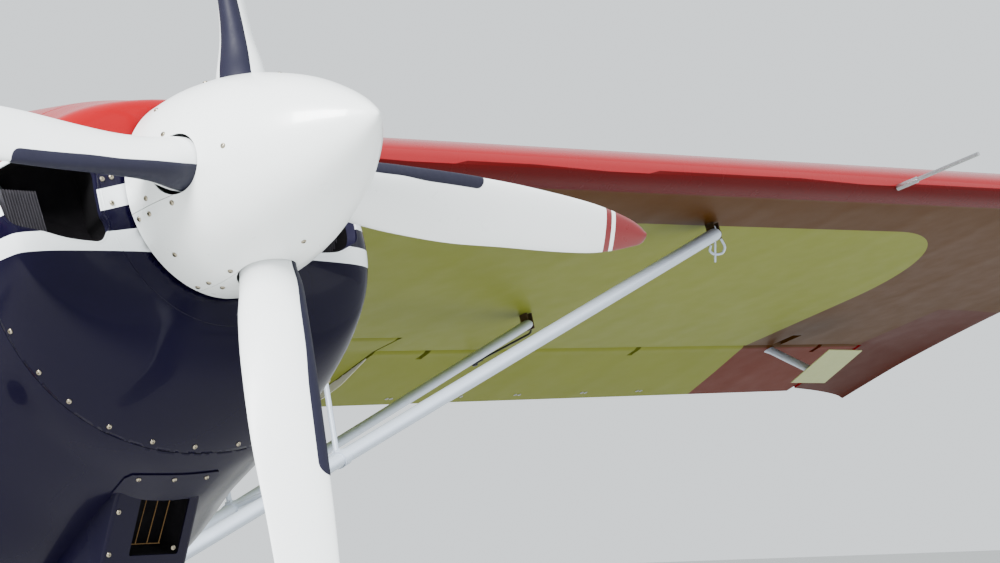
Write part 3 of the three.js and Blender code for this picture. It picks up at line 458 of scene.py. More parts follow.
class Value:
    """A socket that takes part in Python expressions; each operation adds its Math node."""

    def __init__(self, graph: "Graph", socket: bpy.types.NodeSocket) -> None:
        """Keeps the socket with its graph."""
        self.graph = graph
        self.socket = socket

    def math(self, operation: str, *terms: "Value | float") -> "Value":
        """A Math node on terms in their order."""
        return self.graph.value("ShaderNodeMath", {"operation": operation}, dict(enumerate(terms)))

    # Of two masks, the product is both and the larger is either
    __add__ = operator("ADD")
    __sub__ = operator("SUBTRACT")
    __rsub__ = operator("SUBTRACT", swapped=True)
    __mul__ = operator("MULTIPLY")
    __truediv__ = operator("DIVIDE")
    __pow__ = operator("POWER")
    __gt__ = operator("GREATER_THAN")
    __lt__ = operator("LESS_THAN")
    __abs__ = operator("ABSOLUTE")
    __or__ = operator("MAXIMUM")
    at_least = operator("MAXIMUM")

    def between(self, low: float, high: float) -> "Value":
        """Mask of where it lies between two numbers."""
        return (self > low) * (self < high)

    def wave(self, pitch: float) -> "Value":
        """A wave from -1 to 1 that repeats each pitch."""
        return self.math("SINE", self * (2 * math.pi / pitch))


class Graph:
    """The node tree of one material."""

    def __init__(self, name: str) -> None:
        """Starts a material with its shader and output."""
        self.material = bpy.data.materials.new(name)
        self.material.use_nodes = True
        self.tree = self.material.node_tree
        self.tree.nodes.clear()
        self.shader = self.node("ShaderNodeBsdfPrincipled")
        self.node("ShaderNodeOutputMaterial", {}, {"Surface": Value(self, self.shader.outputs[0])})
        self.known: dict[str, Value] = {}

    def node(self, kind: str, settings: Settings = None, sockets: Settings = None) -> bpy.types.Node:
        """Adds a node.

        Args:
            kind: The node's type.
            settings: Its properties, set first.
            sockets: Values or links of its inputs, by name or number.

        Returns:
            The node.
        """
        node = self.tree.nodes.new(kind)
        for key, setting in (settings or {}).items():
            setattr(node, key, setting)
        for key, given in (sockets or {}).items():
            self.put(node, key, given)
        return node

    def put(self, node: bpy.types.Node, key: str | int, given: object) -> None:
        """Links a value to a node's input, or sets the input; a colour's three parts get an alpha.

        Args:
            node: The node.
            key: The input's name or number.
            given: A value to link, or what the input is set to.
        """
        socket = node.inputs[key]
        if isinstance(given, Value):
            self.tree.links.new(given.socket, socket)
        elif socket.type == "RGBA" and isinstance(given, tuple) and len(given) == 3:
            socket.default_value = (*given, 1.0)
        else:
            socket.default_value = given

    def value(
        self, kind: str, settings: Settings = None, sockets: Settings = None, output: int | str = 0,
    ) -> Value:
        """Adds a node and gives one of its outputs."""
        return Value(self, self.node(kind, settings, sockets).outputs[output])

    def vector(self, operation: str, first: object, second: object, output: int | str = 0) -> Value:
        """A Vector Math node on two terms."""
        return self.value("ShaderNodeVectorMath", {"operation": operation}, {0: first, 1: second}, output)

    def mixed(self, under: "Value | Rgb", over: "Value | Rgb", share: "Value | float") -> Value:
        """A colour laid over another by a share."""
        sockets = {0: share, 6: under, 7: over}
        return self.value("ShaderNodeMix", {"data_type": "RGBA"}, sockets, 2)

    @property
    def place(self) -> Value:
        """The point on the surface, in the row frame at rest."""
        if "place" not in self.known:
            self.known["place"] = self.value("ShaderNodeTexCoord", output="Object")
        return self.known["place"]

    def coordinate(self, direction: Vector, start: Vector) -> Value:
        """How far the surface lies along a direction from a point."""
        apart = self.vector("SUBTRACT", self.place, tuple(start))
        return self.vector("DOT_PRODUCT", apart, tuple(direction), "Value")

    def body(self, name: str) -> Value:
        """The body frame's x, y or z."""
        if name not in self.known:
            self.known[name] = self.coordinate({"x": PORT, "y": AFT, "z": UP}[name], HUB)
        return self.known[name]

    def facing(self, direction: Vector) -> Value:
        """How much the surface faces a direction, from -1 to 1."""
        normal = self.value("ShaderNodeTexCoord", output="Normal")
        return self.vector("DOT_PRODUCT", normal, tuple(direction), "Value")

    def noise(self, scale: float, detail: float = 3.0, stretch: Point = (1.0, 1.0, 1.0)) -> Value:
        """Uneven values around a half; scale counts the lumps in a metre."""
        vector = self.place
        if tuple(stretch) != (1.0, 1.0, 1.0):
            vector = self.vector("MULTIPLY", vector, tuple(stretch))
        sockets = {"Vector": vector, "Scale": scale, "Detail": detail}
        return self.value("ShaderNodeTexNoise", {}, sockets, 0)

    def slope(self, value: Value, low: float, high: float, start: float = 0.0, end: float = 1.0) -> Value:
        """A value eased from start to end while another runs from low to high."""
        sockets = {0: value, 1: low, 2: high, 3: start, 4: end}
        return self.value("ShaderNodeMapRange", {"interpolation_type": "SMOOTHSTEP"}, sockets)

    def relief(self, height: Value, depth: float, strength: float = 1.0) -> Value:
        """A bumped normal; depth is in metres for a height of 1."""
        sockets = {"Strength": strength, "Distance": depth, "Height": height}
        return self.value("ShaderNodeBump", {}, sockets)


MADE: dict[str, bpy.types.Material] = {}


@dataclass(frozen=True)
class Finish:
    """A surface of one colour with the small unevenness that it really has."""

    name: str
    colour: Rgb
    roughness: float = 0.4
    metallic: float = 0.0
    coat: float = 0.0
    mottle: float = 0.05
    grain: float = 18.0
    relief: float = 0.0
    fineness: float = 900.0
    alpha: float = 1.0
    specular: float = 0.5

    def material(self) -> bpy.types.Material:
        """The finish's material, made once."""
        if self.name not in MADE:
            graph = Graph(self.name)
            self.dress(graph)
            MADE[self.name] = graph.material
        return MADE[self.name]

    def dress(self, graph: Graph) -> None:
        """Links what varies over the surface, and sets the rest on the shader's own sockets."""
        shade = (graph.noise(self.grain, 5.0) - 0.5) * (2 * self.mottle) + 1.0
        terms = {0: self.colour_on(graph), "Scale": shade}
        uneven = (graph.noise(self.grain * 3.1, 4.0) - 0.5) * (0.5 * self.roughness)
        given = {
            "Base Color": graph.value("ShaderNodeVectorMath", {"operation": "SCALE"}, terms),
            "Roughness": uneven + self.roughness_on(graph),
            "Metallic": self.metallic,
            "Coat Weight": self.coat_on(graph),
            "Coat Roughness": 0.04,
            "Alpha": self.alpha,
            "Specular IOR Level": self.specular,
            "Normal": self.height_on(graph),
        }
        for name, what in given.items():
            if what is not None:
                graph.put(graph.shader, name, what)

    def colour_on(self, graph: Graph) -> "Value | Rgb":
        """The colour over the surface."""
        return self.colour

    def roughness_on(self, graph: Graph) -> "Value | float":
        """The roughness over the surface."""
        return self.roughness

    def coat_on(self, graph: Graph) -> "Value | float":
        """The clear coat's weight over the surface."""
        return self.coat

    def height_on(self, graph: Graph) -> Value | None:
        """The bumped normal, or nothing where the surface is even."""
        if not self.relief:
            return None
        return graph.relief(graph.noise(self.fineness, 2.0), self.relief)


RED = srgb(132, 8, 18)
NAVY = srgb(9, 6, 27)
WHITE = srgb(222, 227, 230)
TIP_RED = srgb(104, 3, 10)


@dataclass(frozen=True)
class Livery(Finish):
    """Red over navy with three white bands that run aft from the nose along both sides."""

    # Lower and upper edge of each band from the thrust line, where the bands pass the inlets
    bands: tuple[tuple[float, float], ...] = ((-0.089, -0.0595), (-0.0275, 0.006), (0.045, 0.068))
    red_from: float = 0.0679
    # The bands rise towards the spinner, drop below the window sills and climb again to the tail
    nose_rise: tuple[float, float] = (0.206, 0.22)
    drop: tuple[float, float, float] = (0.3, 1.2, -0.075)
    climb: tuple[float, float, float] = (2.4, 6.0, 0.16)
    lining: Rgb = srgb(150, 152, 154)

    def colour_on(self, graph: Graph) -> Value:
        """Picks each band's colour by its height."""
        out, aft, height = abs(graph.body("x")), graph.body("y"), graph.body("z")
        reach, steep = self.nose_rise
        ahead = graph.slope(aft, 0.15, 0.26, steep, 0.0)
        level = height - (reach - out).at_least(0.0) * ahead * graph.slope(height, -0.09, -0.02)
        for start, end, lift in (self.drop, self.climb):
            level = level - graph.slope(aft, start, end, 0.0, lift)
        colour = self.colour
        for band in self.bands:
            colour = graph.mixed(colour, WHITE, level.between(*band))
        colour = graph.mixed(colour, RED, level > self.red_from)
        inside = (out < 0.3435) * (height > -0.5325) * aft.between(1.2505, 2.9355)
        return graph.mixed(colour, self.lining, inside)


@dataclass(frozen=True)
class BladePaint(Finish):
    """White blade paint with a red tip behind a thin red stripe."""

    stripe: tuple[float, float] = (0.764, 0.7775)
    tip_from: float = 0.787

    def colour_on(self, graph: Graph) -> Value:
        """Picks the colour by the distance along the blade."""
        x, z = graph.body("x"), graph.body("z")
        c, s = math.cos(CLOCKING), math.sin(CLOCKING)
        reach = abs(x * c - z * s).at_least(abs(x * s + z * c))
        marked = reach.between(*self.stripe) | (reach > self.tip_from)
        return graph.mixed(self.colour, TIP_RED, marked)


@dataclass(frozen=True)
class WingFinish(Finish):
    """Red above; below, a metal nose, red fabric and a cream panel with a rounded outer end, all in painted
    shade.
    """

    metal_to: float = 0.060
    # The underside's colours are painted light: the metal nose, red fabric, cream panel, aileron and tip as
    # they look in shade, browner and greener from painted light through the fabric and a painted greenish
    # bounce from below.
    metal_nose_in_shade: Rgb = srgb(78, 5, 6)
    red_fabric_in_shade: Rgb = srgb(70, 41, 5)
    cream: Rgb = srgb(113, 118, 40)
    aileron_red: Rgb = srgb(86, 27, 4)
    tip_red_in_shade: Rgb = srgb(66, 20, 4)

    def frame(self, graph: Graph) -> tuple[Value, Value]:
        """How far out and how far aft of the wing's nose the surface lies."""
        return abs(graph.body("x")), graph.body("y") - WING_NOSE[0]

    def colour_on(self, graph: Graph) -> Value:
        """Picks the colour by the side that faces up or down and by the place in plan; the side that faces
        down gets painted shade.
        """
        out, back = self.frame(graph)
        below = self.below(graph)
        narrow = (back - 1.25).at_least(0.0) * 0.26 + 0.49
        beside = (out - 3.98).at_least(0.0) / narrow
        ahead = (0.8 - back).at_least(0.0) / 0.568
        panel = ((beside * beside + ahead * ahead) < 1.0) * (back > 0.232)
        # Underneath, the red fabric, the cream panel, the aileron and the tip take their colours in painted
        # shade.
        fabric = graph.mixed(self.red_fabric_in_shade, self.cream, panel)
        moving = (back > 1.262) * (out > 4.2) * (1.0 - panel)
        fabric = graph.mixed(fabric, self.aileron_red, moving)
        fabric = graph.mixed(fabric, self.tip_red_in_shade, (out > 5.09) * (back > 0.9))
        underside = graph.mixed(self.metal_nose_in_shade, fabric, back > self.metal_to)
        # The painted shade is laid on the side that faces down.
        return graph.mixed(self.colour, underside, below)

    def below(self, graph: Graph) -> Value:
        """Mask of the underside, with the walls of its gaps, where the painted shade goes."""
        out, back = self.frame(graph)
        up = graph.facing(UP)
        return (up < 0.3) * (back > 0.1) * (out < 5.1) | (up < -0.12)

    def coat_on(self, graph: Graph) -> Value:
        """A clear coat that the dull underside lacks."""
        return (1.0 - self.below(graph)) * self.coat

    def roughness_on(self, graph: Graph) -> Value:
        """Glossy on the metal nose and satin on the fabric."""
        _, back = self.frame(graph)
        return graph.slope(back, self.metal_to - 0.01, self.metal_to + 0.01, self.roughness, 0.46)

    def height_on(self, graph: Graph) -> Value:
        """Shallow ribs under the fabric, with the weave between them."""
        out, back = self.frame(graph)
        rib = (out - 0.356).wave(0.76)
        tape = abs(rib) ** 14.0
        fabric = graph.slope(back, self.metal_to, self.metal_to + 0.06)
        weave = graph.noise(700.0, 1.0)
        return graph.relief(fabric * (tape + weave * 0.015), 0.0012)


@dataclass(frozen=True)
class Weave(Finish):
    """A woven seat cloth."""

    pitch: float = 0.0022

    def height_on(self, graph: Graph) -> Value:
        """Threads over and under each other."""
        x, y, z = (graph.body(name) for name in "xyz")
        threads = x.wave(self.pitch) * (y + z).wave(self.pitch)
        return graph.relief(threads + graph.noise(300.0, 2.0), 0.0005)

    def colour_on(self, graph: Graph) -> Value:
        """A fleck of lighter threads."""
        fleck = graph.slope(graph.noise(420.0, 1.0), 0.45, 0.62)
        lighter = tuple(min(1.0, c * 1.9 + 0.01) for c in self.colour)
        return graph.mixed(self.colour, lighter, fleck * 0.5)


@dataclass(frozen=True)
class Ribbed(Finish):
    """Doped fabric drawn over ribs, which stand across one of the body's axes."""

    axis: str = "z"
    pitch: float = 0.16

    def height_on(self, graph: Graph) -> Value:
        """Taped ribs with the weave between them."""
        tape = abs(graph.body(self.axis).wave(2 * self.pitch)) ** 40.0
        return graph.relief(tape + graph.noise(700.0, 1.0) * 0.015, 0.0012)


@dataclass(frozen=True)
class Brushed(Finish):
    """Bare metal with fine scratches along the body."""

    def roughness_on(self, graph: Graph) -> Value:
        """Streaks in the polish."""
        return graph.noise(260.0, 3.0, (1.0, 0.06, 1.0)) * 0.25 + (self.roughness - 0.12)


SPINNER_WHITE = Finish(
    "spinner_white", srgb(224, 228, 228), 0.3, coat=0.3, mottle=0.015, grain=9, relief=2e-5
)
BLADE_WHITE = BladePaint("blade_white", srgb(228, 232, 233), 0.3, coat=0.3, mottle=0.02, relief=2e-5)
BOOT_RUBBER = Finish("boot_rubber", srgb(22, 22, 38), 0.55, mottle=0.12, grain=40, relief=6e-5, specular=0.2)
LIVERY = Livery(
    "livery", NAVY, 0.24, coat=0.1, mottle=0.03, grain=7, relief=3e-6, fineness=500, specular=0.06
)
RED_PAINT = Finish("red_gloss", RED, 0.25, coat=0.3, mottle=0.05, relief=3e-6)
FIN_FABRIC = Ribbed("fin_dope", RED, 0.3, coat=0.1, mottle=0.06, specular=0.3, axis="z", pitch=0.18)
PLANE_FABRIC = Ribbed("tailplane_dope", RED, 0.3, coat=0.1, mottle=0.06, specular=0.3, axis="x", pitch=0.22)
WING = WingFinish("wing_dope", RED, 0.26, coat=0.35, mottle=0.05, grain=5, specular=0.06)
SILVER = Finish("strut_silver", srgb(186, 197, 212), 0.38, 0.15, coat=0.2, mottle=0.06, relief=2e-5)
METAL = Brushed("bare_metal_brushed", srgb(168, 170, 172), 0.32, 1.0, mottle=0.12, grain=60)
SCREW = Brushed("screw_metal", srgb(150, 142, 124), 0.3, 1.0, mottle=0.2, grain=200)
FLANGE = Finish("flange_navy", srgb(30, 28, 50), 0.35, coat=0.2, mottle=0.1, relief=3e-5)
# Near-black and dull: painted shade for the deep insides of the inlets and of the intake's mouth.
SHADE_BLACK = Finish("duct_painted_shade", srgb(7, 6, 8), 0.95, mottle=0.3, relief=1e-4, specular=0.1)
BLACK_METAL = Finish("black_metal_satin", srgb(24, 24, 26), 0.4, 0.3, mottle=0.15, relief=3e-5)
ENGINE = Finish("engine_cast", srgb(70, 72, 74), 0.6, 0.5, mottle=0.2, relief=4e-4, fineness=350)
COOLER = Brushed("cooler_fins", srgb(74, 72, 78), 0.5, 0.8, mottle=0.2)
BRONZE = Brushed("grid_bronze", srgb(84, 62, 32), 0.5, 0.8, mottle=0.15)
FORK_BRONZE = Brushed("fork_bronze", srgb(84, 66, 50), 0.45, 0.8, mottle=0.2)
RUBBER = Finish("tyre_black", srgb(26, 26, 27), 0.82, mottle=0.25, relief=3e-4, fineness=300)
WHEEL_WHITE = Finish("wheel_white", srgb(206, 208, 208), 0.35, coat=0.2, mottle=0.06, relief=2e-5)
GLASS = Finish("window_clear", srgb(196, 214, 218), 0.05, coat=1.0, mottle=0.01, alpha=0.2)
PANEL_BLACK = Finish("panel_black", srgb(22, 22, 24), 0.6, mottle=0.1, relief=1e-4)
SEAT_CLOTH = Weave("seat_weave", srgb(50, 56, 72), 0.9, mottle=0.1)
SEAT_TRIM = Weave("seat_trim", srgb(24, 26, 32), 0.85, mottle=0.1, pitch=0.0016)
SEAT_METAL = Finish("seat_metal_grey", srgb(116, 120, 124), 0.45, 0.2, mottle=0.08, grain=40, relief=4e-5)
DIAL_BLACK = Finish("dial_black", srgb(12, 12, 13), 0.35, mottle=0.1, relief=3e-5)
DIAL_WHITE = Finish("dial_white", srgb(226, 226, 220), 0.5, mottle=0.04, relief=3e-5)
GASKET = Finish("gasket_rubber", srgb(20, 20, 21), 0.7, mottle=0.15, relief=1e-4)
EXHAUST = Brushed("exhaust_heat", srgb(120, 98, 80), 0.4, 1.0, mottle=0.3)
END_WHITE = Finish("end_rib_white", srgb(206, 204, 188), 0.4, mottle=0.06, relief=2e-5)
# The balance plate's cream in painted shade: darker and greener, with a painted greenish bounce light from
# below.
SPADE_CREAM_IN_SHADE = Finish("spade_cream", srgb(158, 164, 112), 0.4, mottle=0.08, relief=4e-5)
FLOOR = Finish("floor_pale", srgb(205, 206, 204), 0.85, mottle=0.01, grain=0.8)


@dataclass
class Screws:
    """Domed cross-head screws, gathered into one mesh."""

    radius: float = 0.0042
    height: float = 0.0022
    sides: int = 24

    def head(self) -> Shape:
        """One head, with its axis along Z and its cross recess cut in."""
        steps = round_steps(self.sides)

        def circle(share: float, lift: float) -> list[Vector]:
            """A ring of the dome."""
            r = self.radius * share
            return [Vector((r * math.cos(a), r * math.sin(a), self.height * lift)) for a in steps]

        def cross(lift: float) -> list[Vector]:
            """A ring in the form of the driver's cross."""
            ring = []
            for a in steps:
                turn = (a + math.pi / 4) % (math.pi / 2) - math.pi / 4
                r = self.radius * min(0.5 / math.cos(turn), 0.15 / max(abs(math.sin(turn)), 1e-6))
                ring.append(Vector((r * math.cos(a), r * math.sin(a), self.height * lift)))
            return ring

        rings = [circle(1, -0.3), circle(1, 0.1), circle(0.9, 0.5), circle(0.72, 0.84), circle(0.6, 0.94)]
        return Shape().skin([*rings, cross(0.97), cross(0.1)])

    def gather(self, places: Iterable[tuple[Vector, Vector]]) -> Shape:
        """Sets a head at each place, facing along its direction."""
        shape, head = Shape(), self.head()
        for i, (at, facing) in enumerate(places):
            turn = facing.to_track_quat("Z", "Y").to_matrix().to_4x4()
            spin = Matrix.Rotation(0.7 * i, 4, "Z")
            shape.join(head, Matrix.Translation(at) @ turn @ spin)
        return shape


@dataclass
class Propeller:
    """Spinner, four blades with their leading-edge boots, and the hub behind them."""

    blades: int = 4
    hole: float = 0.0455
    seam_half: float = 0.0438
    seam_width: float = 0.0011
    wall: float = 0.0022
    # columns: y, radius
    outline: tuple[Point, ...] = (
        (-0.280, 0.0), (-0.275, 0.010), (-0.262, 0.025), (-0.240, 0.046), (-0.205, 0.073), (-0.160, 0.101),
        (-0.110, 0.124), (-0.055, 0.144), (0.005, 0.157), (0.060, 0.162), (0.107, 0.160),
    )
    # columns: radius, chord, thickness, pitch, share of the chord ahead of the axis, camber
    stations: tuple[Point, ...] = (
        (0.0605, 0.083, 0.083, 45, 0.5, 0), (0.15, 0.085, 0.079, 45.5, 0.505, 0),
        (0.175, 0.093, 0.070, 45.5, 0.51, 0.05), (0.215, 0.102, 0.053, 43.5, 0.48, 0.12),
        (0.3, 0.109, 0.036, 35, 0.455, 0.25), (0.41, 0.112, 0.024, 26, 0.445, 0.3),
        (0.53, 0.106, 0.016, 21, 0.455, 0.3), (0.64, 0.097, 0.012, 19, 0.44, 0.3),
        (0.73, 0.084, 0.010, 18.5, 0.42, 0.3), (0.785, 0.067, 0.008, 18.5, 0.4, 0.3),
        (0.83, 0.046, 0.007, 18.5, 0.36, 0.3), (0.856, 0.028, 0.006, 18, 0.22, 0.3),
        (0.8675, 0.010, 0.004, 18, -0.1, 0.3),
    )
    coning: float = 0.017
    boot: tuple[float, float] = (0.132, 0.470)
    # columns: radius, the boot's reach over the blade's face and over its back
    boot_reach: tuple[Point, ...] = (
        (0.1, 0.019, 0.038), (0.16, 0.0185, 0.036), (0.21, 0.019, 0.028), (0.27, 0.0195, 0.022),
        (0.345, 0.023, 0.021), (0.5, 0.022, 0.02),
    )
    # Screws: angle from a blade's axis in degrees, y
    screw_rows: tuple[Point, ...] = (
        (19.7, 0.020), (-19.7, 0.020), (19.7, 0.070), (-19.7, 0.070), (19.7, 0.096), (-19.7, 0.096),
        (11.5, 0.066), (-11.5, 0.066), (0.0, -0.088), (45.0, 0.069),
    )
    place: Matrix = field(init=False)

    def __post_init__(self) -> None:
        """Works out where the turned propeller stands."""
        self.place = PLACE @ Matrix.Rotation(CLOCKING, 4, "Y")

    def turn(self, index: int) -> Matrix:
        """Takes the port blade to another one."""
        return Matrix.Rotation(-2 * math.pi * index / self.blades, 4, "Y")

    def build(self) -> None:
        """Builds every piece."""
        self.build_spinner()
        self.build_blades()
        self.build_screws()
        paint("propeller_hub", METAL)

    def build_spinner(self) -> None:
        """Turns the shell, cuts the blade holes and the seams of the filler plates."""
        rows = along(self.outline, 90)
        outer = [(radius, y) for y, radius in rows]
        inner = [(max(radius - self.wall, 0.0), y + self.wall) for y, radius in rows[:-1]]
        inner.append((rows[-1][1] - self.wall, rows[-1][0]))
        shell = Shape().turned(outer + inner[::-1], (0, 0, 0), (0, 1, 0), 192)
        finishes = [SPINNER_WHITE]
        piece = make(shell, "spinner_shell", "propeller", finishes, ["spinner"], self.place)
        holes, seams = Shape(), Shape()
        for index in range(self.blades):
            turn = self.turn(index)
            round_hole = Shape().turned([(self.hole, 0.09), (self.hole, 0.24)], (0, 0, 0), (1, 0, 0), 72)
            holes.join(round_hole, turn)
            for side in (-1, 1):
                z = side * self.seam_half
                half = self.seam_width / 2
                seams.join(Shape().block((0.1, 0.012, z - half), (0.22, 0.12, z + half)), turn)
        cut(piece, holes, self.place)
        cut(piece, seams, self.place)

    def section(
        self, row: Point, angles: Iterable[float], lift: Iterable[float] | None = None,
    ) -> list[Vector]:
        """Points round a blade at one station.

        Args:
            row: The station's radius, chord, thickness, pitch, lead and camber.
            angles: Angles round the section; 0 is the leading edge.
            lift: How far each point stands off the skin.

        Returns:
            The points, for the port blade.
        """
        radius, chord, thick, pitch, lead, camber = row
        slope = math.radians(pitch)
        ahead = Vector((0.0, -math.sin(slope), math.cos(slope)))
        face = Vector((0.0, -math.cos(slope), -math.sin(slope)))
        points = []
        angles = list(angles)
        for angle, off in zip(angles, lift or [0.0] * len(angles)):
            c, s = math.cos(angle), math.sin(angle)
            swell = 1 + camber * c + (0.25 * camber if s > 0 else -0.55 * camber) * abs(s)
            u = (c / 2 + lead - 0.5) * chord
            v = s / 2 * thick * swell
            outward = Vector((c / max(chord, 1e-4), s / max(thick, 1e-4))).normalized() * off
            axis = Vector((radius, -self.coning * (radius - self.stations[0][0]), 0))
            points.append(axis + ahead * (u + outward.x) + face * (v + outward.y))
        return points

    def build_blades(self) -> None:
        """Lofts one blade and its boot, and sets each blade in its place."""
        rows = along(self.stations, 72)
        steps = round_steps(56)
        blade = Shape().skin([self.section(row, steps) for row in rows])
        boot = self.boot_shape()
        for index in range(self.blades):
            place = self.place @ self.turn(index)
            number = index + 1
            name, node = f"blade_skin_{number}", f"blade_{number}"
            make(blade, name, "propeller", [BLADE_WHITE], [node], place)
            make(boot, f"blade_boot_{number}", "propeller", [BOOT_RUBBER], (), place, 60.0)

    def boot_shape(self) -> Shape:
        """A thin rubber strip wrapped round the leading edge, with a rounded outer end."""
        start, end = self.boot
        across, lengths = 16, 60
        fine = [math.pi * i / 80 for i in range(81)]
        outer, inner = [], []
        for i in range(lengths + 1):
            radius = start + (end - start) * (1 - (1 - i / lengths) ** 1.5)
            row = [radius, *smooth(self.stations, [radius])[0]]
            face, back = smooth(self.boot_reach, [radius])[0]
            left = min(1.0, (end - radius) / 0.02)
            rounding = math.sqrt(max(1 - (1 - left) ** 2, 1e-4))
            shares = [2 * k / across - 1 for k in range(across + 1)]
            angles = []
            for sign, reach in ((-1, back), (1, face)):
                line = self.section(row, [sign * a for a in fine])
                run = running([(b - a).length for a, b in zip(line, line[1:])])
                wanted = [abs(s) * reach * rounding for s in shares if (s < 0) == (sign < 0)]
                angles += [sign * float(np.interp(w, run, fine)) for w in wanted]
            edge = min(1.0, 0.25 + i / 3) * min(1.0, 0.25 + (lengths - i) / 6)
            lift = [0.0009 * edge * (1 - abs(s) ** 10) + 0.0002 for s in shares]
            outer.append(self.section(row, angles, lift))
            inner.append(self.section(row, angles, [-0.001] * len(angles)))
        rings = [a + b[::-1] for a, b in zip(outer, inner)]
        return Shape().skin(rings)

    def build_screws(self) -> None:
        """Sets the spinner's screws square to its skin."""
        rows = along(self.outline, 200)
        places = []
        for index in range(self.blades):
            turn = self.turn(index)
            for degrees, y in self.screw_rows:
                k = int(np.argmin(np.abs(rows[:, 0] - y)))
                (y0, r0), (y1, r1) = rows[k - 2], rows[min(k + 2, len(rows) - 1)]
                slope = Vector((y1 - y0, 0, -(r1 - r0))).normalized()
                spin = turn @ Matrix.Rotation(math.radians(degrees), 4, "Y")
                places.append((spin @ Vector((rows[k][1], y, 0)), spin @ Vector((slope.x, slope.z, 0))))
        shape = Screws().gather(places)
        make(shape, "spinner_screws", "propeller", [SCREW], (), self.place, 50.0)


class Hoops:
    """The fuselage's section, from a table of y, half width, top, bottom and squareness."""

    def __init__(self, rows: Sequence[Point], middle: float) -> None:
        """Keeps the table and the height of the section's widest line."""
        self.rows = rows
        self.middle = middle

    def points(self, row: Point, angles: np.ndarray) -> np.ndarray:
        """Points of a section at angles round it, from port over the top.

        Args:
            row: The section's y, half width, top, bottom, squareness above and below.
            angles: The angles.

        Returns:
            One row of x, y and z for each angle.
        """
        y, half, top, bottom, above, below = row
        c, s = np.cos(angles), np.sin(angles)
        power = 2 / np.where(s > 0, above, below)
        rise = np.where(s > 0, top - self.middle, self.middle - bottom)
        side = half * np.sign(c) * np.abs(c) ** power
        height = self.middle + rise * np.sign(s) * np.abs(s) ** power
        return np.column_stack([side, np.full_like(side, y), height])

    def angle(self, row: Point, height: float) -> float:
        """The angle on the port side where a section has a height."""
        _, _, top, bottom, above, below = row
        if height > self.middle:
            return math.asin(min(1.0, ((height - self.middle) / (top - self.middle)) ** (above / 2)))
        return -math.asin(min(1.0, ((self.middle - height) / (self.middle - bottom)) ** (below / 2)))

    def ring(
        self, row: Point, start: float = 0.0, end: float = 2 * math.pi, count: int = 160,
    ) -> list[Vector]:
        """Points round a section at even steps of its length."""
        closed = abs(end - start - 2 * math.pi) < 1e-9
        dense = self.points(row, np.linspace(start, end, 1441))
        run = running(np.linalg.norm(np.diff(dense, axis=0), axis=1))
        steps = np.linspace(0.0, run[-1], count + 1)[:-1] if closed else np.linspace(0.0, run[-1], count)
        return [Vector(point) for point in zip(*(np.interp(steps, run, dense[:, k]) for k in range(3)))]


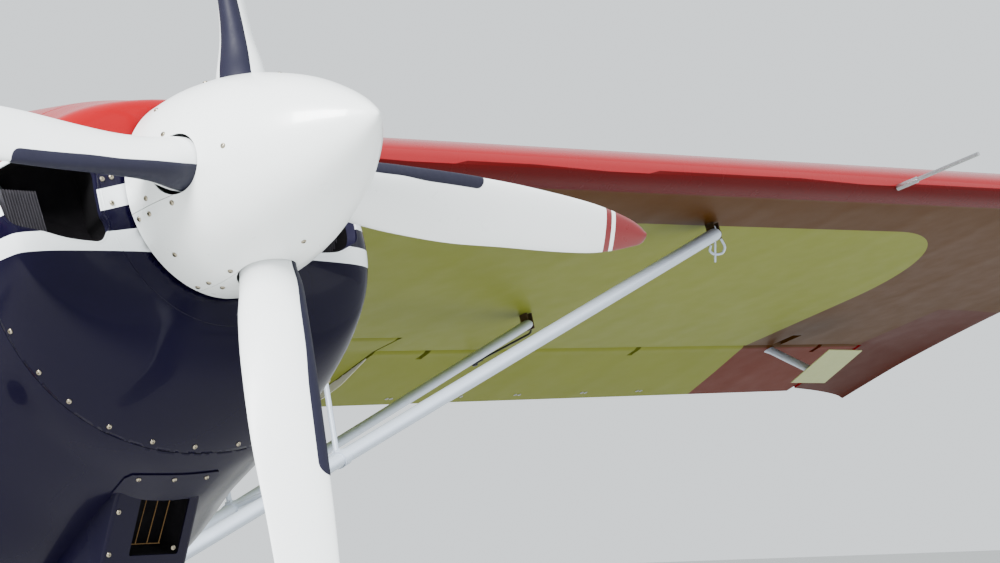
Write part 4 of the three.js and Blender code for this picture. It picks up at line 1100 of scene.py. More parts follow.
@dataclass
class Cowling:
    """Nose bowl with its cooling inlets, red top and navy chin with the filter intake."""

    wall: float = 0.003
    opening: float = 0.148
    around: int = 240
    face_seam: float = 0.200
    joint: float = 0.226
    split: float = -0.014
    seam: float = 0.0008
    middle: float = -0.05
    # columns: y, half width, top, bottom, squareness above, squareness below
    rows: tuple[Point, ...] = (
        (0.1125, 0.165, 0.152, -0.164, 2, 2), (0.118, 0.238, 0.159, -0.201, 2, 2),
        (0.128, 0.316, 0.166, -0.234, 2.1, 2), (0.146, 0.352, 0.171, -0.282, 2.2, 2.1),
        (0.176, 0.356, 0.181, -0.324, 2.15, 2.2), (0.226, 0.357, 0.200, -0.370, 2.1, 2.2),
        (0.300, 0.360, 0.220, -0.406, 2.1, 2.1), (0.400, 0.363, 0.244, -0.444, 2.15, 2.15),
        (0.560, 0.365, 0.288, -0.501, 2.3, 2.6), (0.800, 0.371, 0.312, -0.525, 2.6, 3.7),
        (1.0497, 0.372, 0.335, -0.548, 2.8, 5.5),
    )
    # An inlet's outline: x outboard to port and to starboard, and z
    inlet: tuple[Point, ...] = (
        (0.204, 0.204, 0.029), (0.206, 0.206, 0.003), (0.2055, 0.2055, -0.029), (0.199, 0.199, -0.042),
        (0.198, 0.198, -0.055), (0.204, 0.204, -0.063), (0.210, 0.210, -0.072), (0.222, 0.222, -0.0765),
        (0.239, 0.239, -0.0755), (0.262, 0.265, -0.0728), (0.275, 0.283, -0.0693), (0.292, 0.307, -0.0625),
        (0.304, 0.326, -0.0570), (0.313, 0.341, -0.0525), (0.320, 0.354, -0.044), (0.325, 0.360, -0.025),
        (0.325, 0.360, -0.002), (0.323, 0.356, 0.020), (0.317, 0.340, 0.044), (0.309, 0.322, 0.058),
        (0.292, 0.298, 0.066), (0.260, 0.260, 0.068), (0.224, 0.224, 0.064), (0.209, 0.209, 0.052),
    )
    flange: float = 0.019
    duct_lean: float = 0.35
    bowl_screws_at: float = 0.2155
    # Screws along the bowl's rear edge, as x and z
    bowl_screws: tuple[Point, ...] = (
        (-0.291, -0.247), (-0.245, -0.291), (-0.178, -0.3295), (-0.101, -0.3535), (-0.020, -0.362),
        (0.068, -0.359), (0.150, -0.341), (0.222, -0.305), (0.280, -0.256), (0.322, -0.195),
        (-0.330, -0.185), (-0.350, -0.12), (0.350, -0.12),
    )
    # The intake's fairing: its lower line as y and z, and on its slanted front x and the way down
    fairing_line: tuple[Point, ...] = ((0.303, -0.385), (0.403, -0.530), (0.440, -0.546), (0.660, -0.508))
    fairing_width: tuple[float, float] = (-0.100, 0.070)
    mouth: tuple[float, float, float, float] = (-0.050, 0.047, 0.0335, 0.130)
    mouth_corner: float = 0.004
    bars: tuple[float, ...] = (-0.034, -0.011, 0.0125)
    rails: tuple[float, float] = (0.039, 0.113)
    fairing_screws: tuple[Point, ...] = ((-0.089, 0.057), (-0.090, 0.126), (0.0352, 0.119))
    # The flange over the fairing: its front edge as x and y, and its screws as x and y
    doubler: tuple[Point, ...] = (
        (-0.1045, 0.2905), (-0.100, 0.2812), (-0.0958, 0.2785), (-0.0241, 0.2667), (0.0424, 0.2645),
        (0.066, 0.2660), (0.0705, 0.2745),
    )
    doubler_lift: float = 0.0025
    doubler_screws: tuple[Point, ...] = ((-0.0822, 0.2788), (-0.0197, 0.2706), (0.0436, 0.2692))

    def __post_init__(self) -> None:
        """Prepares the section and the fairing's slanted front."""
        self.hoops = Hoops(self.rows, self.middle)
        top, foot = (Vector((0.0, *place)) for place in self.fairing_line[:2])
        self.face_down = (foot - top).normalized()
        self.face_out = self.face_down.cross(PORT)

    def build(self) -> None:
        """Builds every piece."""
        fine = along(self.rows, 120)
        self.bowl_rows = [row for row in fine if row[0] < self.joint - self.seam / 2]
        edge = smooth(self.rows, [self.joint - self.seam / 2])[0]
        self.bowl_rows.append(np.array([self.joint - self.seam / 2, *edge]))
        self.skin = Shape().skin([self.hoops.ring(row) for row in fine], ends=True)
        self.probe = Probe(self.skin)
        self.build_bowl()
        self.build_shells()
        self.build_inlets()
        self.build_intake()
        self.build_screws()
        self.dress_machinery()

    def build_bowl(self) -> None:
        """Lofts the nose bowl back from the spinner's opening and cuts its inlets."""
        first = self.hoops.ring(self.bowl_rows[0], count=self.around)

        def circle(radius: float, y: float) -> list[Vector]:
            """A ring round the spinner's opening."""
            aims = (Vector((point.x, 0, point.z)).normalized() * radius for point in first)
            return [Vector((aim.x, y, aim.z)) for aim in aims]

        rings = [circle(self.opening, 0.150)]
        lip = ((0, 0.004), (0.0008, 0.0016), (0.0026, 0.0003))
        rings += [circle(self.opening + out, 0.1125 + back) for out, back in lip]
        rings += [self.hoops.ring(row, count=self.around) for row in self.bowl_rows]
        bowl = Shape().skin(rings, ends=False)
        piece = make(
            bowl, "nose_bowl_skin", "airframe", [LIVERY], ["nose_bowl"],
            sharp=60.0, wall=self.wall,
        )
        for side in (-1, 1):
            edge, inward = self.inlet_edge(side)
            cut(piece, Shape().skin([[p - inward * 0.04 for p in edge], [p + inward * 0.05 for p in edge]]))
        bead = []
        for degrees in range(150, 391, 2):
            turn = math.radians(degrees)
            aim = (self.face_seam * math.cos(turn), 0.0, self.face_seam * math.sin(turn))
            bead.append(self.probe.hit(aim, (0, 1, 0))[0] + Vector((0, 0.0003, 0)))
        make(Shape().tube(bead, 0.0011, 8), "bowl_face_bead", "airframe", [LIVERY])

    def inlet_edge(self, side: int, count: int = 96, grow: float = 0.0) -> tuple[list[Vector], Vector]:
        """An inlet's outline on the bowl.

        Args:
            side: 1 to port, -1 to starboard.
            count: Number of points.
            grow: How much wider than the opening.

        Returns:
            The points, and the direction that the duct takes behind them.
        """
        outline = [(row[0] if side > 0 else row[1], row[2]) for row in self.inlet]
        line = along([*outline, outline[0]], count + 1)[:-1]
        away = line - line.mean(axis=0)
        line = line + grow * away / np.linalg.norm(away, axis=1)[:, None]
        inward = Vector((-self.duct_lean * side, 1.0, 0.0)).normalized()
        edge = []
        for x, z in line:
            front = self.probe.hit((side * min(x, 0.345), 0.0, z), (0, 1, 0))[0]
            start = Vector((side * x, front.y, z)) - inward * 0.1
            edge.append(self.probe.hit(start, inward)[0])
        return edge, inward

    def build_shells(self) -> None:
        """Lofts the red top and the navy chin behind the bowl."""
        start, end = self.joint + self.seam / 2, self.rows[-1][0] - 0.0005
        stations = start + (end - start) * np.linspace(0, 1, 60) ** 1.3
        rows = [np.array([y, *smooth(self.rows, [y])[0]]) for y in stations]
        top, chin = [], []
        for row in rows:
            high = self.hoops.angle(row, self.split + self.seam / 2)
            low = self.hoops.angle(row, self.split - self.seam / 2)
            top.append(self.hoops.ring(row, high, math.pi - high, 110))
            chin.append(self.hoops.ring(row, math.pi - low, 2 * math.pi + low, 150))
        make(
            Shape().sheet(top), "cowl_top_skin", "airframe", [LIVERY], ["cowl_upper"],
            wall=self.wall, sharp=60.0,
        )
        piece = make(
            Shape().sheet(chin), "cowl_chin_skin", "airframe", [LIVERY], ["cowl_lower"],
            wall=self.wall, sharp=60.0,
        )
        cut(piece, Shape().block((-0.15, 0.85, -0.62), (0.15, 1.06, -0.44)))
        cut(piece, Shape().block((-0.090, 0.315, -0.52), (0.060, 0.60, -0.36)))

    def build_inlets(self) -> None:
        """Gives each inlet its rolled lip, a flange, a duct in near-black painted shade that closes at its
        far end, and the fins that show in it.
        """
        lips, ducts, fins = Shape(), Shape(), Shape()
        for side in (-1, 1):
            edge, inward = self.inlet_edge(side)
            lips.tube([point + inward * 0.0008 for point in edge], 0.0016, 10, closed=True)
            wider, _ = self.inlet_edge(side, grow=0.0008)
            depths = (0.002, self.flange, self.flange + 0.0005, 0.08)
            rings = [[point + inward * depth for point in wider] for depth in depths]
            centre = sum(rings[-1], Vector()) / len(rings[-1])
            rings.append([centre.lerp(point, 0.02) for point in rings[-1]])
            ducts.skin(rings[:2], ends=False)
            # Behind the flange, the duct and the cap that closes it are painted shade.
            ducts.skin(rings[2:], ends=False, finish=1)
            for k in range(13):
                x = side * (0.276 + 0.0052 * k)
                tilt = side * 0.006
                ends = ((x + tilt, 0.016), (x - tilt, -0.066))
                corners = ((-0.0005, 0.166), (0.0005, 0.166), (0.0005, 0.18), (-0.0005, 0.18))
                fins.skin([[Vector((at + dx, y, z)) for dx, y in corners] for at, z in ends])
        make(lips, "inlet_lips", "airframe", [LIVERY])
        make(ducts, "inlet_ducts", "airframe", [FLANGE, SHADE_BLACK], (), sharp=40.0)
        make(fins, "inlet_cooler_fins", "airframe", [COOLER])

    def build_intake(self) -> None:
        """Shapes the filter intake's fairing under the chin, with its mouth, the well behind it in painted
        shade, and the wire grid.
        """
        piece = make(
            self.fairing(), "intake_fairing", "airframe", [LIVERY, SHADE_BLACK],
            sharp=38.0, bevel=0.003,
        )
        mouth = [self.on_face(x, w, -0.05) for x, w in self.rounded(self.mouth, self.mouth_corner)]
        cut(piece, Shape().prism(mouth, self.face_out * 0.095))
        well, grid = Shape(), Shape()
        inner = self.rounded(self.mouth, self.mouth_corner, -0.0002)
        # The well behind the mouth is a closed box in painted shade.
        well.skin([[self.on_face(x, w, lift) for x, w in inner] for lift in (-0.002, -0.044)], ends=False)
        well.skin([[self.on_face(x, w, lift) for x, w in inner] for lift in (-0.043, -0.044)])
        for x in self.bars:
            ends = self.on_face(x, self.rails[0], -0.006), self.on_face(x - 0.0035, self.rails[1], -0.006)
            grid.tube(ends, 0.0008, 8)
        for w in self.rails:
            grid.tube([self.on_face(-0.047, w, -0.0065), self.on_face(0.012, w, -0.0065)], 0.0008, 8)
        make(well, "intake_well", "airframe", [SHADE_BLACK])
        self.build_doubler()
        make(grid, "intake_grid", "airframe", [BRONZE])

    def build_doubler(self) -> None:
        """Lays the fairing's upper flange on the chin's skin."""
        xs = np.linspace(self.doubler[0][0], self.doubler[-1][0], 24)
        rows = []
        for x, (front,) in zip(xs, smooth(self.doubler, xs)):
            row = []
            for y in np.linspace(front, 0.326, 8):
                place, normal = self.probe.hit((x, y, -0.8), (0, 0, 1))
                row.append(place + normal * self.doubler_lift)
            rows.append(row)
        make(
            Shape().sheet(rows), "intake_flange", "airframe", [LIVERY],
            wall=0.0035, sharp=40.0, bevel=0.0008,
        )

    def on_face(self, x: float, down: float, out: float = 0.0) -> Vector:
        """A point of the fairing's slanted front, by x, how far down it and how far off it."""
        return Vector((x, *self.fairing_line[0])) + self.face_down * down + self.face_out * out

    @staticmethod
    def rounded(corners: Point, radius: float, grow: float = 0.0) -> list[tuple[float, float]]:
        """A rectangle with rounded corners, from its low and high x and w."""
        x0, x1, w0, w1 = corners[0] - grow, corners[1] + grow, corners[2] - grow, corners[3] + grow
        line = []
        for k, (cx, cw) in enumerate(((x1 - radius, w1 - radius), (x0 + radius, w1 - radius),
                                      (x0 + radius, w0 + radius), (x1 - radius, w0 + radius))):
            for step in range(7):
                turn = math.pi / 2 * (k + step / 6)
                line.append((cx + radius * math.cos(turn), cw + radius * math.sin(turn)))
        return line

    def fairing(self) -> Shape:
        """The intake's fairing as a closed body that ends inside the chin."""
        y0, y1 = self.fairing_line[0][0], self.fairing_line[-1][0]
        stations = [y0 + 0.0005, *np.linspace(y0 + 0.003, y0 + 0.036, 12), *np.linspace(y0 + 0.045, y1, 30)]
        line = np.array(self.fairing_line)
        right, left = self.fairing_width
        rings = []
        for y in stations:
            low = float(np.interp(y, line[:, 0], line[:, 1]))
            near = min(1.0, (y - y0) / 0.030)
            inset = 0.026 * (1 - math.sqrt(1 - (1 - near) ** 2))
            corner = min(0.008, max(0.0005, (-0.375 - low) / 3))
            x0, x1 = right + inset, left - inset * 0.15
            ring = [Vector((x1, y, -0.372)), Vector((x0, y, -0.372))]
            for cx, start in ((x0 + corner, math.pi), (x1 - corner, 1.5 * math.pi)):
                for step in range(6):
                    turn = start + math.pi / 2 * step / 5
                    up = low + corner + corner * math.sin(turn)
                    ring.append(Vector((cx + corner * math.cos(turn), y, up)))
            rings.append(ring)
        return Shape().skin(rings)

    def build_screws(self) -> None:
        """Sets the screws round the bowl and the intake."""
        places = []
        centre = Vector((0.0, self.bowl_screws_at, self.middle - 0.06))
        for x, z in self.bowl_screws:
            spot = Vector((x, self.bowl_screws_at, z))
            places.append(self.probe.hit(spot + (spot - centre), centre - spot))
        for side in (-1, 1):
            for x, z in ((0.195, 0.0227), (0.178, 0.0264), (0.185, -0.0147)):
                places.append(self.probe.hit((side * x, -0.3, z), (0, 1, 0)))
        for x, down in self.fairing_screws:
            places.append((self.on_face(x, down), self.face_out))
        for x, y in self.doubler_screws:
            place, normal = self.probe.hit((x, y + 0.006, -0.8), (0, 0, 1))
            places.append((place + normal * self.doubler_lift, normal))
        shape = Screws().gather([(at + facing * 0.0005, facing) for at, facing in places])
        make(shape, "cowl_screws", "airframe", [SCREW], (), sharp=50.0)

    def dress_machinery(self) -> None:
        """Gives the engine block and the exhaust their metals."""
        paint("engine", ENGINE)
        paint("exhaust", EXHAUST)


def paint(node: str, *finishes: Finish, rounding: float = 0.0) -> None:
    """Gives a node of the solid model its finish, and a small rounding on its edges."""
    solid = frame["nodes"][node]
    solid.data.materials.clear()
    for finish in finishes:
        solid.data.materials.append(finish.material())
    if rounding:
        soften(solid, rounding)


@dataclass
class Wing:
    """One wing with its flap and aileron, smooth where the solid model has flats."""

    side: Side
    chord: float = 1.6
    droop: float = math.radians(8.5)
    droop_from: float = 0.78
    root: float = 0.3563
    flap: tuple[float, float, float, float] = (0.727, 0.440, 2.793, 0.009)
    aileron: tuple[float, float, float, float] = (0.798, 2.807, 5.096, 0.007)
    # columns: share of the chord, upper, lower
    profile: tuple[Point, ...] = (
        (0, 0.042, 0.030), (0.012, 0.060, 0.016), (0.04, 0.079, 0.008), (0.09, 0.098, 0.003),
        (0.17, 0.112, 0), (0.3, 0.118, 0), (0.45, 0.112, 0), (0.6, 0.094, 0), (0.7, 0.077, 0),
        (0.78, 0.060, 0), (0.88, 0.037, 0), (1, 0.006, 0.002),
    )
    # columns: x, setback of the nose, thickness, drop at the trailing edge, run beyond the chord
    tip: tuple[Point, ...] = (
        (5.104, 0, 1, 0, -0.030), (5.24, 0.030, 0.86, 0.010, -0.006), (5.34, 0.096, 0.62, 0.027, 0.012),
        (5.41, 0.230, 0.34, 0.050, 0.022), (5.44, 0.420, 0.12, 0.070, 0.028),
    )
    flap_lugs: tuple[float, ...] = (0.700, 1.620, 2.540)
    aileron_lugs: tuple[float, ...] = (3.020, 3.950, 4.880)
    lug: tuple[float, float, float] = (0.022, 0.020, 0.005)
    grommets: tuple[float, ...] = (3.13, 3.43, 3.69, 4.00, 4.27)

    def __post_init__(self) -> None:
        """Places the wing's own frame."""
        tilt = Matrix.Rotation(-DIHEDRAL, 4, "Y") @ Matrix.Rotation(-INCIDENCE, 4, "X")
        self.frame = Matrix.Translation((0.0, *WING_NOSE)) @ tilt
        self.place = PLACE @ self.side.matrix @ self.frame
        self.outline = self.profile_line()
        self.nose_index = min(range(len(self.outline)), key=lambda i: self.outline[i][0])

    def profile_line(self) -> list[tuple[float, float]]:
        """The whole section from the upper trailing edge round the nose, as shares and heights."""
        upper = [(s, high) for s, high, _ in self.profile]
        lower = [(s, low) for s, _, low in self.profile]
        closed = [*upper[::-1], *lower]
        line = along(closed, 240)
        dense = []
        for share, height in line:
            dense.append((share, height - max(0.0, share - self.droop_from) * math.tan(self.droop)))
        return dense

    def heights(self, share: float) -> tuple[float, float]:
        """Upper and lower face at a share of the chord."""
        upper, lower = smooth(self.profile, [share])[0]
        fall = max(0.0, share - self.droop_from) * math.tan(self.droop)
        return upper - fall, lower - fall

    def ring(self, row: Point) -> list[Vector]:
        """The wing's section at one row of the span."""
        x, setback, thickness, drop, run = row
        chord = self.chord - setback + run
        middle = 0.012
        points = []
        for i, (share, height) in enumerate(self.outline):
            swollen = middle + (height - middle) * thickness if i < self.nose_index else height * thickness
            points.append(Vector((x, setback + share * chord, swollen * self.chord - drop * share**2)))
        return points

    def hinge(self, surface: Point) -> tuple[float, float, float]:
        """A surface's hinge on the chord and the radius of its nose."""
        upper, lower = self.heights(surface[0])
        return surface[0] * self.chord, (upper + lower) / 2 * self.chord, (upper - lower) / 2 * self.chord

    def build(self) -> None:
        """Builds every piece."""
        self.build_skin()
        self.build_surface(self.flap, "flap", self.flap_lugs)
        self.build_surface(self.aileron, "aileron", self.aileron_lugs)
        self.build_fittings()

    def build_skin(self) -> None:
        """Lofts the wing and cuts the bays of its flap and aileron."""
        first = []
        for point in self.ring((self.root, 0, 1, 0, 0)):
            body = self.frame @ point
            first.append(point + Vector(((self.root - body.x) / math.cos(DIHEDRAL), 0, 0)))
        inner = [self.ring((x, 0, 1, 0, 0)) for x in np.linspace(0.46, 5.0, 14)]
        outer = [self.ring(row) for row in along(self.tip, 24, (0, 1))]
        shape = Shape().skin([first, *inner, *outer])
        name = f"wing_{self.side.word}"
        piece = make(shape, f"{name}_skin", "airframe", [WING], [name], self.place, sharp=50.0)
        cut(piece, Shape().block((4.604, 1.15, -0.09), (4.650, 1.3, 0.024)), self.place)
        for surface, low, high in ((self.flap, 0.008, 0.007), (self.aileron, 0.007, 0.008)):
            cut(piece, self.bay(surface, surface[1] - low, surface[2] + high), self.place)
        self.build_lugs()

    def bay(self, surface: Point, x0: float, x1: float) -> Shape:
        """The hollow that a surface turns in."""
        s, z, radius = self.hinge(surface)
        reach = radius + surface[3]
        steps = [math.pi / 2 + math.pi * i / 24 for i in range(25)]
        outline = [(x0, s + reach * math.cos(a), z + reach * math.sin(a)) for a in steps]
        outline += [(x0, s, -0.4), (x0, 1.68, -0.4), (x0, 1.68, 0.4), (x0, s, 0.4)]
        return Shape().prism(outline, (x1 - x0, 0, 0))

    def build_lugs(self) -> None:
        """Sets the hinge lugs on the walls of the bays."""
        width, radius, _ = self.lug
        shape = Shape()
        for surface, stations in ((self.flap, self.flap_lugs), (self.aileron, self.aileron_lugs)):
            s, z, nose = self.hinge(surface)
            for x in stations:
                low = (x - width / 2, s - nose - surface[3] - 0.03, z - radius)
                shape.block(low, (x + width / 2, s, z + radius))
                shape.turned([(radius, -width / 2), (radius, width / 2)], (x, s, z), (1, 0, 0), 24)
        make(shape, f"hinge_lugs_{self.side.word}", "airframe", [METAL], (), self.place)

    def build_surface(self, surface: Point, word: str, stations: Sequence[float]) -> None:
        """Lofts a flap or an aileron with a round nose and the notches for its lugs."""
        hinge_share, x0, x1, _ = surface
        s, z, radius = self.hinge(surface)
        shares = np.linspace(hinge_share + 0.012, 1.0, 26)
        upper, lower = [], []
        for i in range(17):
            angle = math.pi / 2 * i / 16
            upper.append((s - radius * math.cos(angle), z + radius * math.sin(angle)))
            lower.append((s - radius * math.cos(angle), z - radius * math.sin(angle)))
        for share in shares:
            high, low = self.heights(float(share))
            upper.append((share * self.chord, high * self.chord))
            lower.append((share * self.chord, low * self.chord))
        line = upper + lower[:0:-1]
        rings = [[Vector((x, y, h)) for y, h in line] for x in np.linspace(x0, x1, 10)]
        name = f"{word}_{self.side.word}"
        skin = Shape().skin(rings)
        piece = make(skin, f"{name}_skin", name, [WING], [name], self.place, sharp=45.0)
        width, lug_radius, clear = self.lug
        notches = Shape()
        for x in stations:
            low = (x - width / 2 - NOTCH_ROOM, s - 0.2, -0.4)
            notches.block(low, (x + width / 2 + NOTCH_ROOM, s + lug_radius + clear, 0.4))
        cut(piece, notches, self.place)

    def beneath(self, x: float, y: float) -> tuple[Vector, Vector]:
        """A point of the lower skin in the body frame on the port side, and its way out."""
        inner = self.frame.inverted() @ Vector((x, y, 0.5))
        share = inner.y / self.chord
        low, near = self.heights(share)[1], self.heights(share + 0.01)[1]
        normal = Vector((0.0, near - low, -0.01)).normalized()
        return self.frame @ Vector((inner.x, inner.y, low * self.chord)), self.frame.to_3x3() @ normal

    def build_fittings(self) -> None:
        """Adds the balance plate with its arm, the grommets, the pushrod and the aileron's end rib, and gives
        the pitot tube its metal.
        """
        place, word = PLACE @ self.side.matrix, self.side.word
        body = f"aileron_{word}"
        plate, arm, grommets, rod = Shape(), Shape(), Shape(), Shape()
        corners = [(2.510, 0.416), (2.510, 0.4195), (2.335, 0.4775), (2.335, 0.474)]
        plate.skin([[Vector((x, y, z)) for y, z in corners] for x in np.linspace(4.535, 4.711, 6)])
        arm.tube([(4.630, 2.680, 0.590), (4.6285, 2.63, 0.561), (4.622, 2.485, 0.452)], 0.0125, 20)
        # The balance plate is cream in painted shade.
        make(plate, f"spade_plate_{word}", body, [SPADE_CREAM_IN_SHADE], (), place, bevel=0.0012)
        make(arm, f"spade_arm_{word}", body, [SILVER], (), place)
        eyelet = [(0.0062, -0.001), (0.0062, 0.0008), (0.005, 0.0016), (0.0032, 0.0016), (0.0026, -0.001)]
        for x in self.grommets:
            for dx in (-0.009, 0.009):
                grommets.turned(eyelet, *self.beneath(x + dx, 2.92), 20)
        make(grommets, f"aileron_grommets_{word}", body, [METAL], (), place)
        ball = Vector((3.2158, 2.6290, 0.5047))
        path = [ball, (3.2593, 2.4354, 0.5361), (3.2595, 2.428, 0.5395), (3.2595, 2.424, 0.5475)]
        rod.tube(path, 0.0030, 12)
        rows = [(0, -0.011), (0.0075, -0.009), (0.0105, 0), (0.0075, 0.009), (0, 0.011)]
        rod.turned(rows, ball, (0, 0, 1), 20)
        shank = (0.0018, -0.008, 0.0013), (0.0063, -0.028, 0.0045)
        rod.tube([ball + Vector(step) for step in shank], 0.0055, 12)
        make(rod, f"aileron_pushrod_{word}", "airframe", [BLACK_METAL], (), place)
        low, high = [], []
        for y in np.linspace(2.655, 2.938, 14):
            at, _ = self.beneath(2.8068, y)
            proud = 0.018 * min(1.0, (y - 2.655) / 0.12, (2.944 - y) / 0.03)
            low.append(at + Vector((0, 0, -proud - 0.001)))
            high.append(at + Vector((0, 0, 0.003)))
        rib = Shape().prism(low + high[::-1], (-0.0028, 0, 0))
        make(rib, f"aileron_end_rib_{word}", body, [END_WHITE], (), place)
        paint("pitot_tube", METAL)


@dataclass
class Struts:
    """One side's lift struts, with the jury strut that steadies them."""

    side: Side
    front: tuple[Point, Point] = ((0.370, 1.846, -0.556), (3.108, 1.578, 0.556))
    rear: tuple[Point, Point] = ((0.370, 1.928, -0.556), (3.108, 2.297, 0.522))
    # chord and thickness of each strut
    front_size: tuple[float, float] = (0.076, 0.034)
    rear_size: tuple[float, float] = (0.054, 0.026)
    # Where the tubes start and end, and how far their caps and forks stand beyond
    ends: tuple[float, float] = (0.404, 3.06)
    cap_at: float = 0.036
    fork_at: float = 0.05
    jury_at: float = 1.716
    jury_radius: float = 0.0068
    # The tie-down hook's wire, as steps across and up as the camera's side sees it
    hook: tuple[Point, ...] = (
        (0.0, 0.0), (0.016, -0.029), (0.029, -0.056), (0.021, -0.072), (0.003, -0.075), (-0.011, -0.064),
        (-0.008, -0.051),
    )

    @staticmethod
    def aim(line: tuple[Point, Point]) -> Vector:
        """The line's direction, outward."""
        return (Vector(line[1]) - Vector(line[0])).normalized()

    def section(
        self, line: tuple[Point, Point], size: tuple[float, float], at: Vector, grow: float = 0.0,
    ) -> list[Vector]:
        """The strut's streamlined section at a point of its line.

        Args:
            line: The strut's foot and top.
            size: Its chord and thickness.
            at: The point.
            grow: How far the section stands off the strut.

        Returns:
            The section's points.
        """
        run = self.aim(line)
        back = (Vector((0, 1, 0)) - run * run.y).normalized()
        up = back.cross(run)
        ring = []
        for a in round_steps(40):
            u = -math.cos(a) * (size[0] / 2 + grow)
            v = math.sin(a) * (size[1] / 2 + grow) * (1 + 0.22 * math.cos(a))
            ring.append(at + back * u + up * v)
        return ring

    @staticmethod
    def point_at(line: tuple[Point, Point], x: float) -> Vector:
        """The line's point at an x."""
        start, end = Vector(line[0]), Vector(line[1])
        return start + (end - start) * ((x - start.x) / (end.x - start.x))

    def ceiling(self, point: Vector) -> float:
        """Height of the wing's lower face over a point."""
        nose, level = WING_NOSE
        return level + point.x * math.tan(DIHEDRAL) - (point.y - nose) * math.tan(INCIDENCE)

    def build(self) -> None:
        """Builds the struts, their fittings, the jury strut and the tie-down hook."""
        place, word = PLACE @ self.side.matrix, self.side.word
        fittings = Shape()
        for name, line, size in (("front", self.front, self.front_size), ("rear", self.rear, self.rear_size)):
            run = self.aim(line)
            low, high = (self.point_at(line, x) for x in self.ends)
            rings = [self.section(line, size, low.lerp(high, i / 12)) for i in range(13)]
            rings.append(self.section(line, size, high + run * self.cap_at))
            node = f"lift_strut_{name}_{word}"
            make(
                Shape().skin(rings), f"{node}_tube", "airframe", [SILVER], [node], place,
                sharp=40.0, bevel=0.0008,
            )
            caps = (high + run * (self.cap_at + beyond) for beyond in (0, 0.004))
            fittings.skin([self.section(line, size, at, -0.002) for at in caps])
            self.add_fork(fittings, high + run * self.fork_at, run)
            self.add_root(fittings, low, run)
        self.add_hook(fittings)
        finishes = [FORK_BRONZE, SILVER]
        make(fittings, f"strut_fittings_{word}", "airframe", finishes, (), place, sharp=35.0)
        self.build_jury()

    def add_fork(self, fittings: Shape, tip: Vector, run: Vector) -> None:
        """Adds the fork between a strut's top and the wing, with its pin."""
        roof = self.ceiling(tip)
        fittings.tube([tip - run * self.fork_at, tip + run * 0.008], 0.0115, 16)
        for dx in (-0.010, 0.010):
            low = (tip.x + dx - 0.0015, tip.y - 0.014, tip.z - 0.016)
            fittings.block(low, (tip.x + dx + 0.0015, tip.y + 0.014, roof - 0.0005))
        pin = [
            (0.0, -0.018), (0.0075, -0.0175), (0.0075, -0.014), (0.0045, -0.0138), (0.0045, 0.0138),
            (0.0075, 0.014), (0.0075, 0.0175), (0.0, 0.018),
        ]
        fittings.turned(pin, tip, (1, 0, 0), 16)

    @staticmethod
    def add_root(fittings: Shape, low: Vector, run: Vector) -> None:
        """Adds the eye that holds a strut's foot, with its pin."""
        fittings.tube([low + run * 0.01, low - run * 0.026], 0.012, 16)
        pin = [
            (0.0, -0.021), (0.009, -0.0205), (0.009, -0.015), (0.006, -0.0148), (0.006, 0.0148),
            (0.009, 0.015), (0.009, 0.0205), (0.0, 0.021),
        ]
        fittings.turned(pin, low - run * 0.022, (0, 1, 0), 16)

    def add_hook(self, fittings: Shape) -> None:
        """Adds the tie-down hook of bent wire under the front strut's top, and its tab."""
        start = Vector((3.112, 1.577, 0.577))
        across, up = Vector((0.69117, -0.6956, -0.1958)), Vector((-0.02961, -0.29797, 0.95412))
        if self.side is Side.RIGHT:
            across, up = Vector((-across.x, across.y, across.z)), Vector((-up.x, up.y, up.z))
        last = len(self.hook) - 1
        turns = smooth([(i, *step) for i, step in enumerate(self.hook)], np.linspace(0, last, 37))
        fittings.tube([start + across * float(u) + up * float(v) for u, v in turns], 0.0034, 10, finish=1)
        tab = [start, start + across * 0.003 + up * -0.05, start + across * 0.003 + up * -0.096]
        fittings.tube(tab, 0.003, 10, finish=1)

    def build_jury(self) -> None:
        """Builds the jury strut: a clamp on each lift strut, two tubes to the wing and one across."""
        place, word = PLACE @ self.side.matrix, self.side.word
        shape = Shape()
        feet = []
        for line, size in ((self.front, self.front_size), (self.rear, self.rear_size)):
            run = self.aim(line)
            foot = self.point_at(line, self.jury_at)
            feet.append(foot)
            steps = ((-0.011, 0.0), (-0.010, 0.003), (0.010, 0.003), (0.011, 0.0))
            shape.skin([self.section(line, size, foot + run * w, g) for w, g in steps])
            top = Vector((foot.x + 0.023, foot.y, self.ceiling(foot)))
            start = foot + Vector((0, 0, size[1] / 2 + 0.002))
            shape.tube([start, top - Vector((0, 0, 0.0005))], self.jury_radius, 16)
            flange = [(0.0, -0.001), (0.014, -0.001), (0.014, -0.004), (0.008, -0.006), (0.0, -0.006)]
            shape.turned(flange, top, (0, 0, 1), 20)
            pin = [(0.0, -0.011), (0.006, -0.0105), (0.006, 0.0105), (0.0, 0.011)]
            shape.turned(pin, start, (0, 1, 0), 12)
        shape.tube([feet[0].lerp(feet[1], 0.05), feet[0].lerp(feet[1], 0.96)], self.jury_radius, 16)
        node = f"jury_strut_{word}"
        make(shape, f"{node}_tubes", "airframe", [SILVER], [node], place)


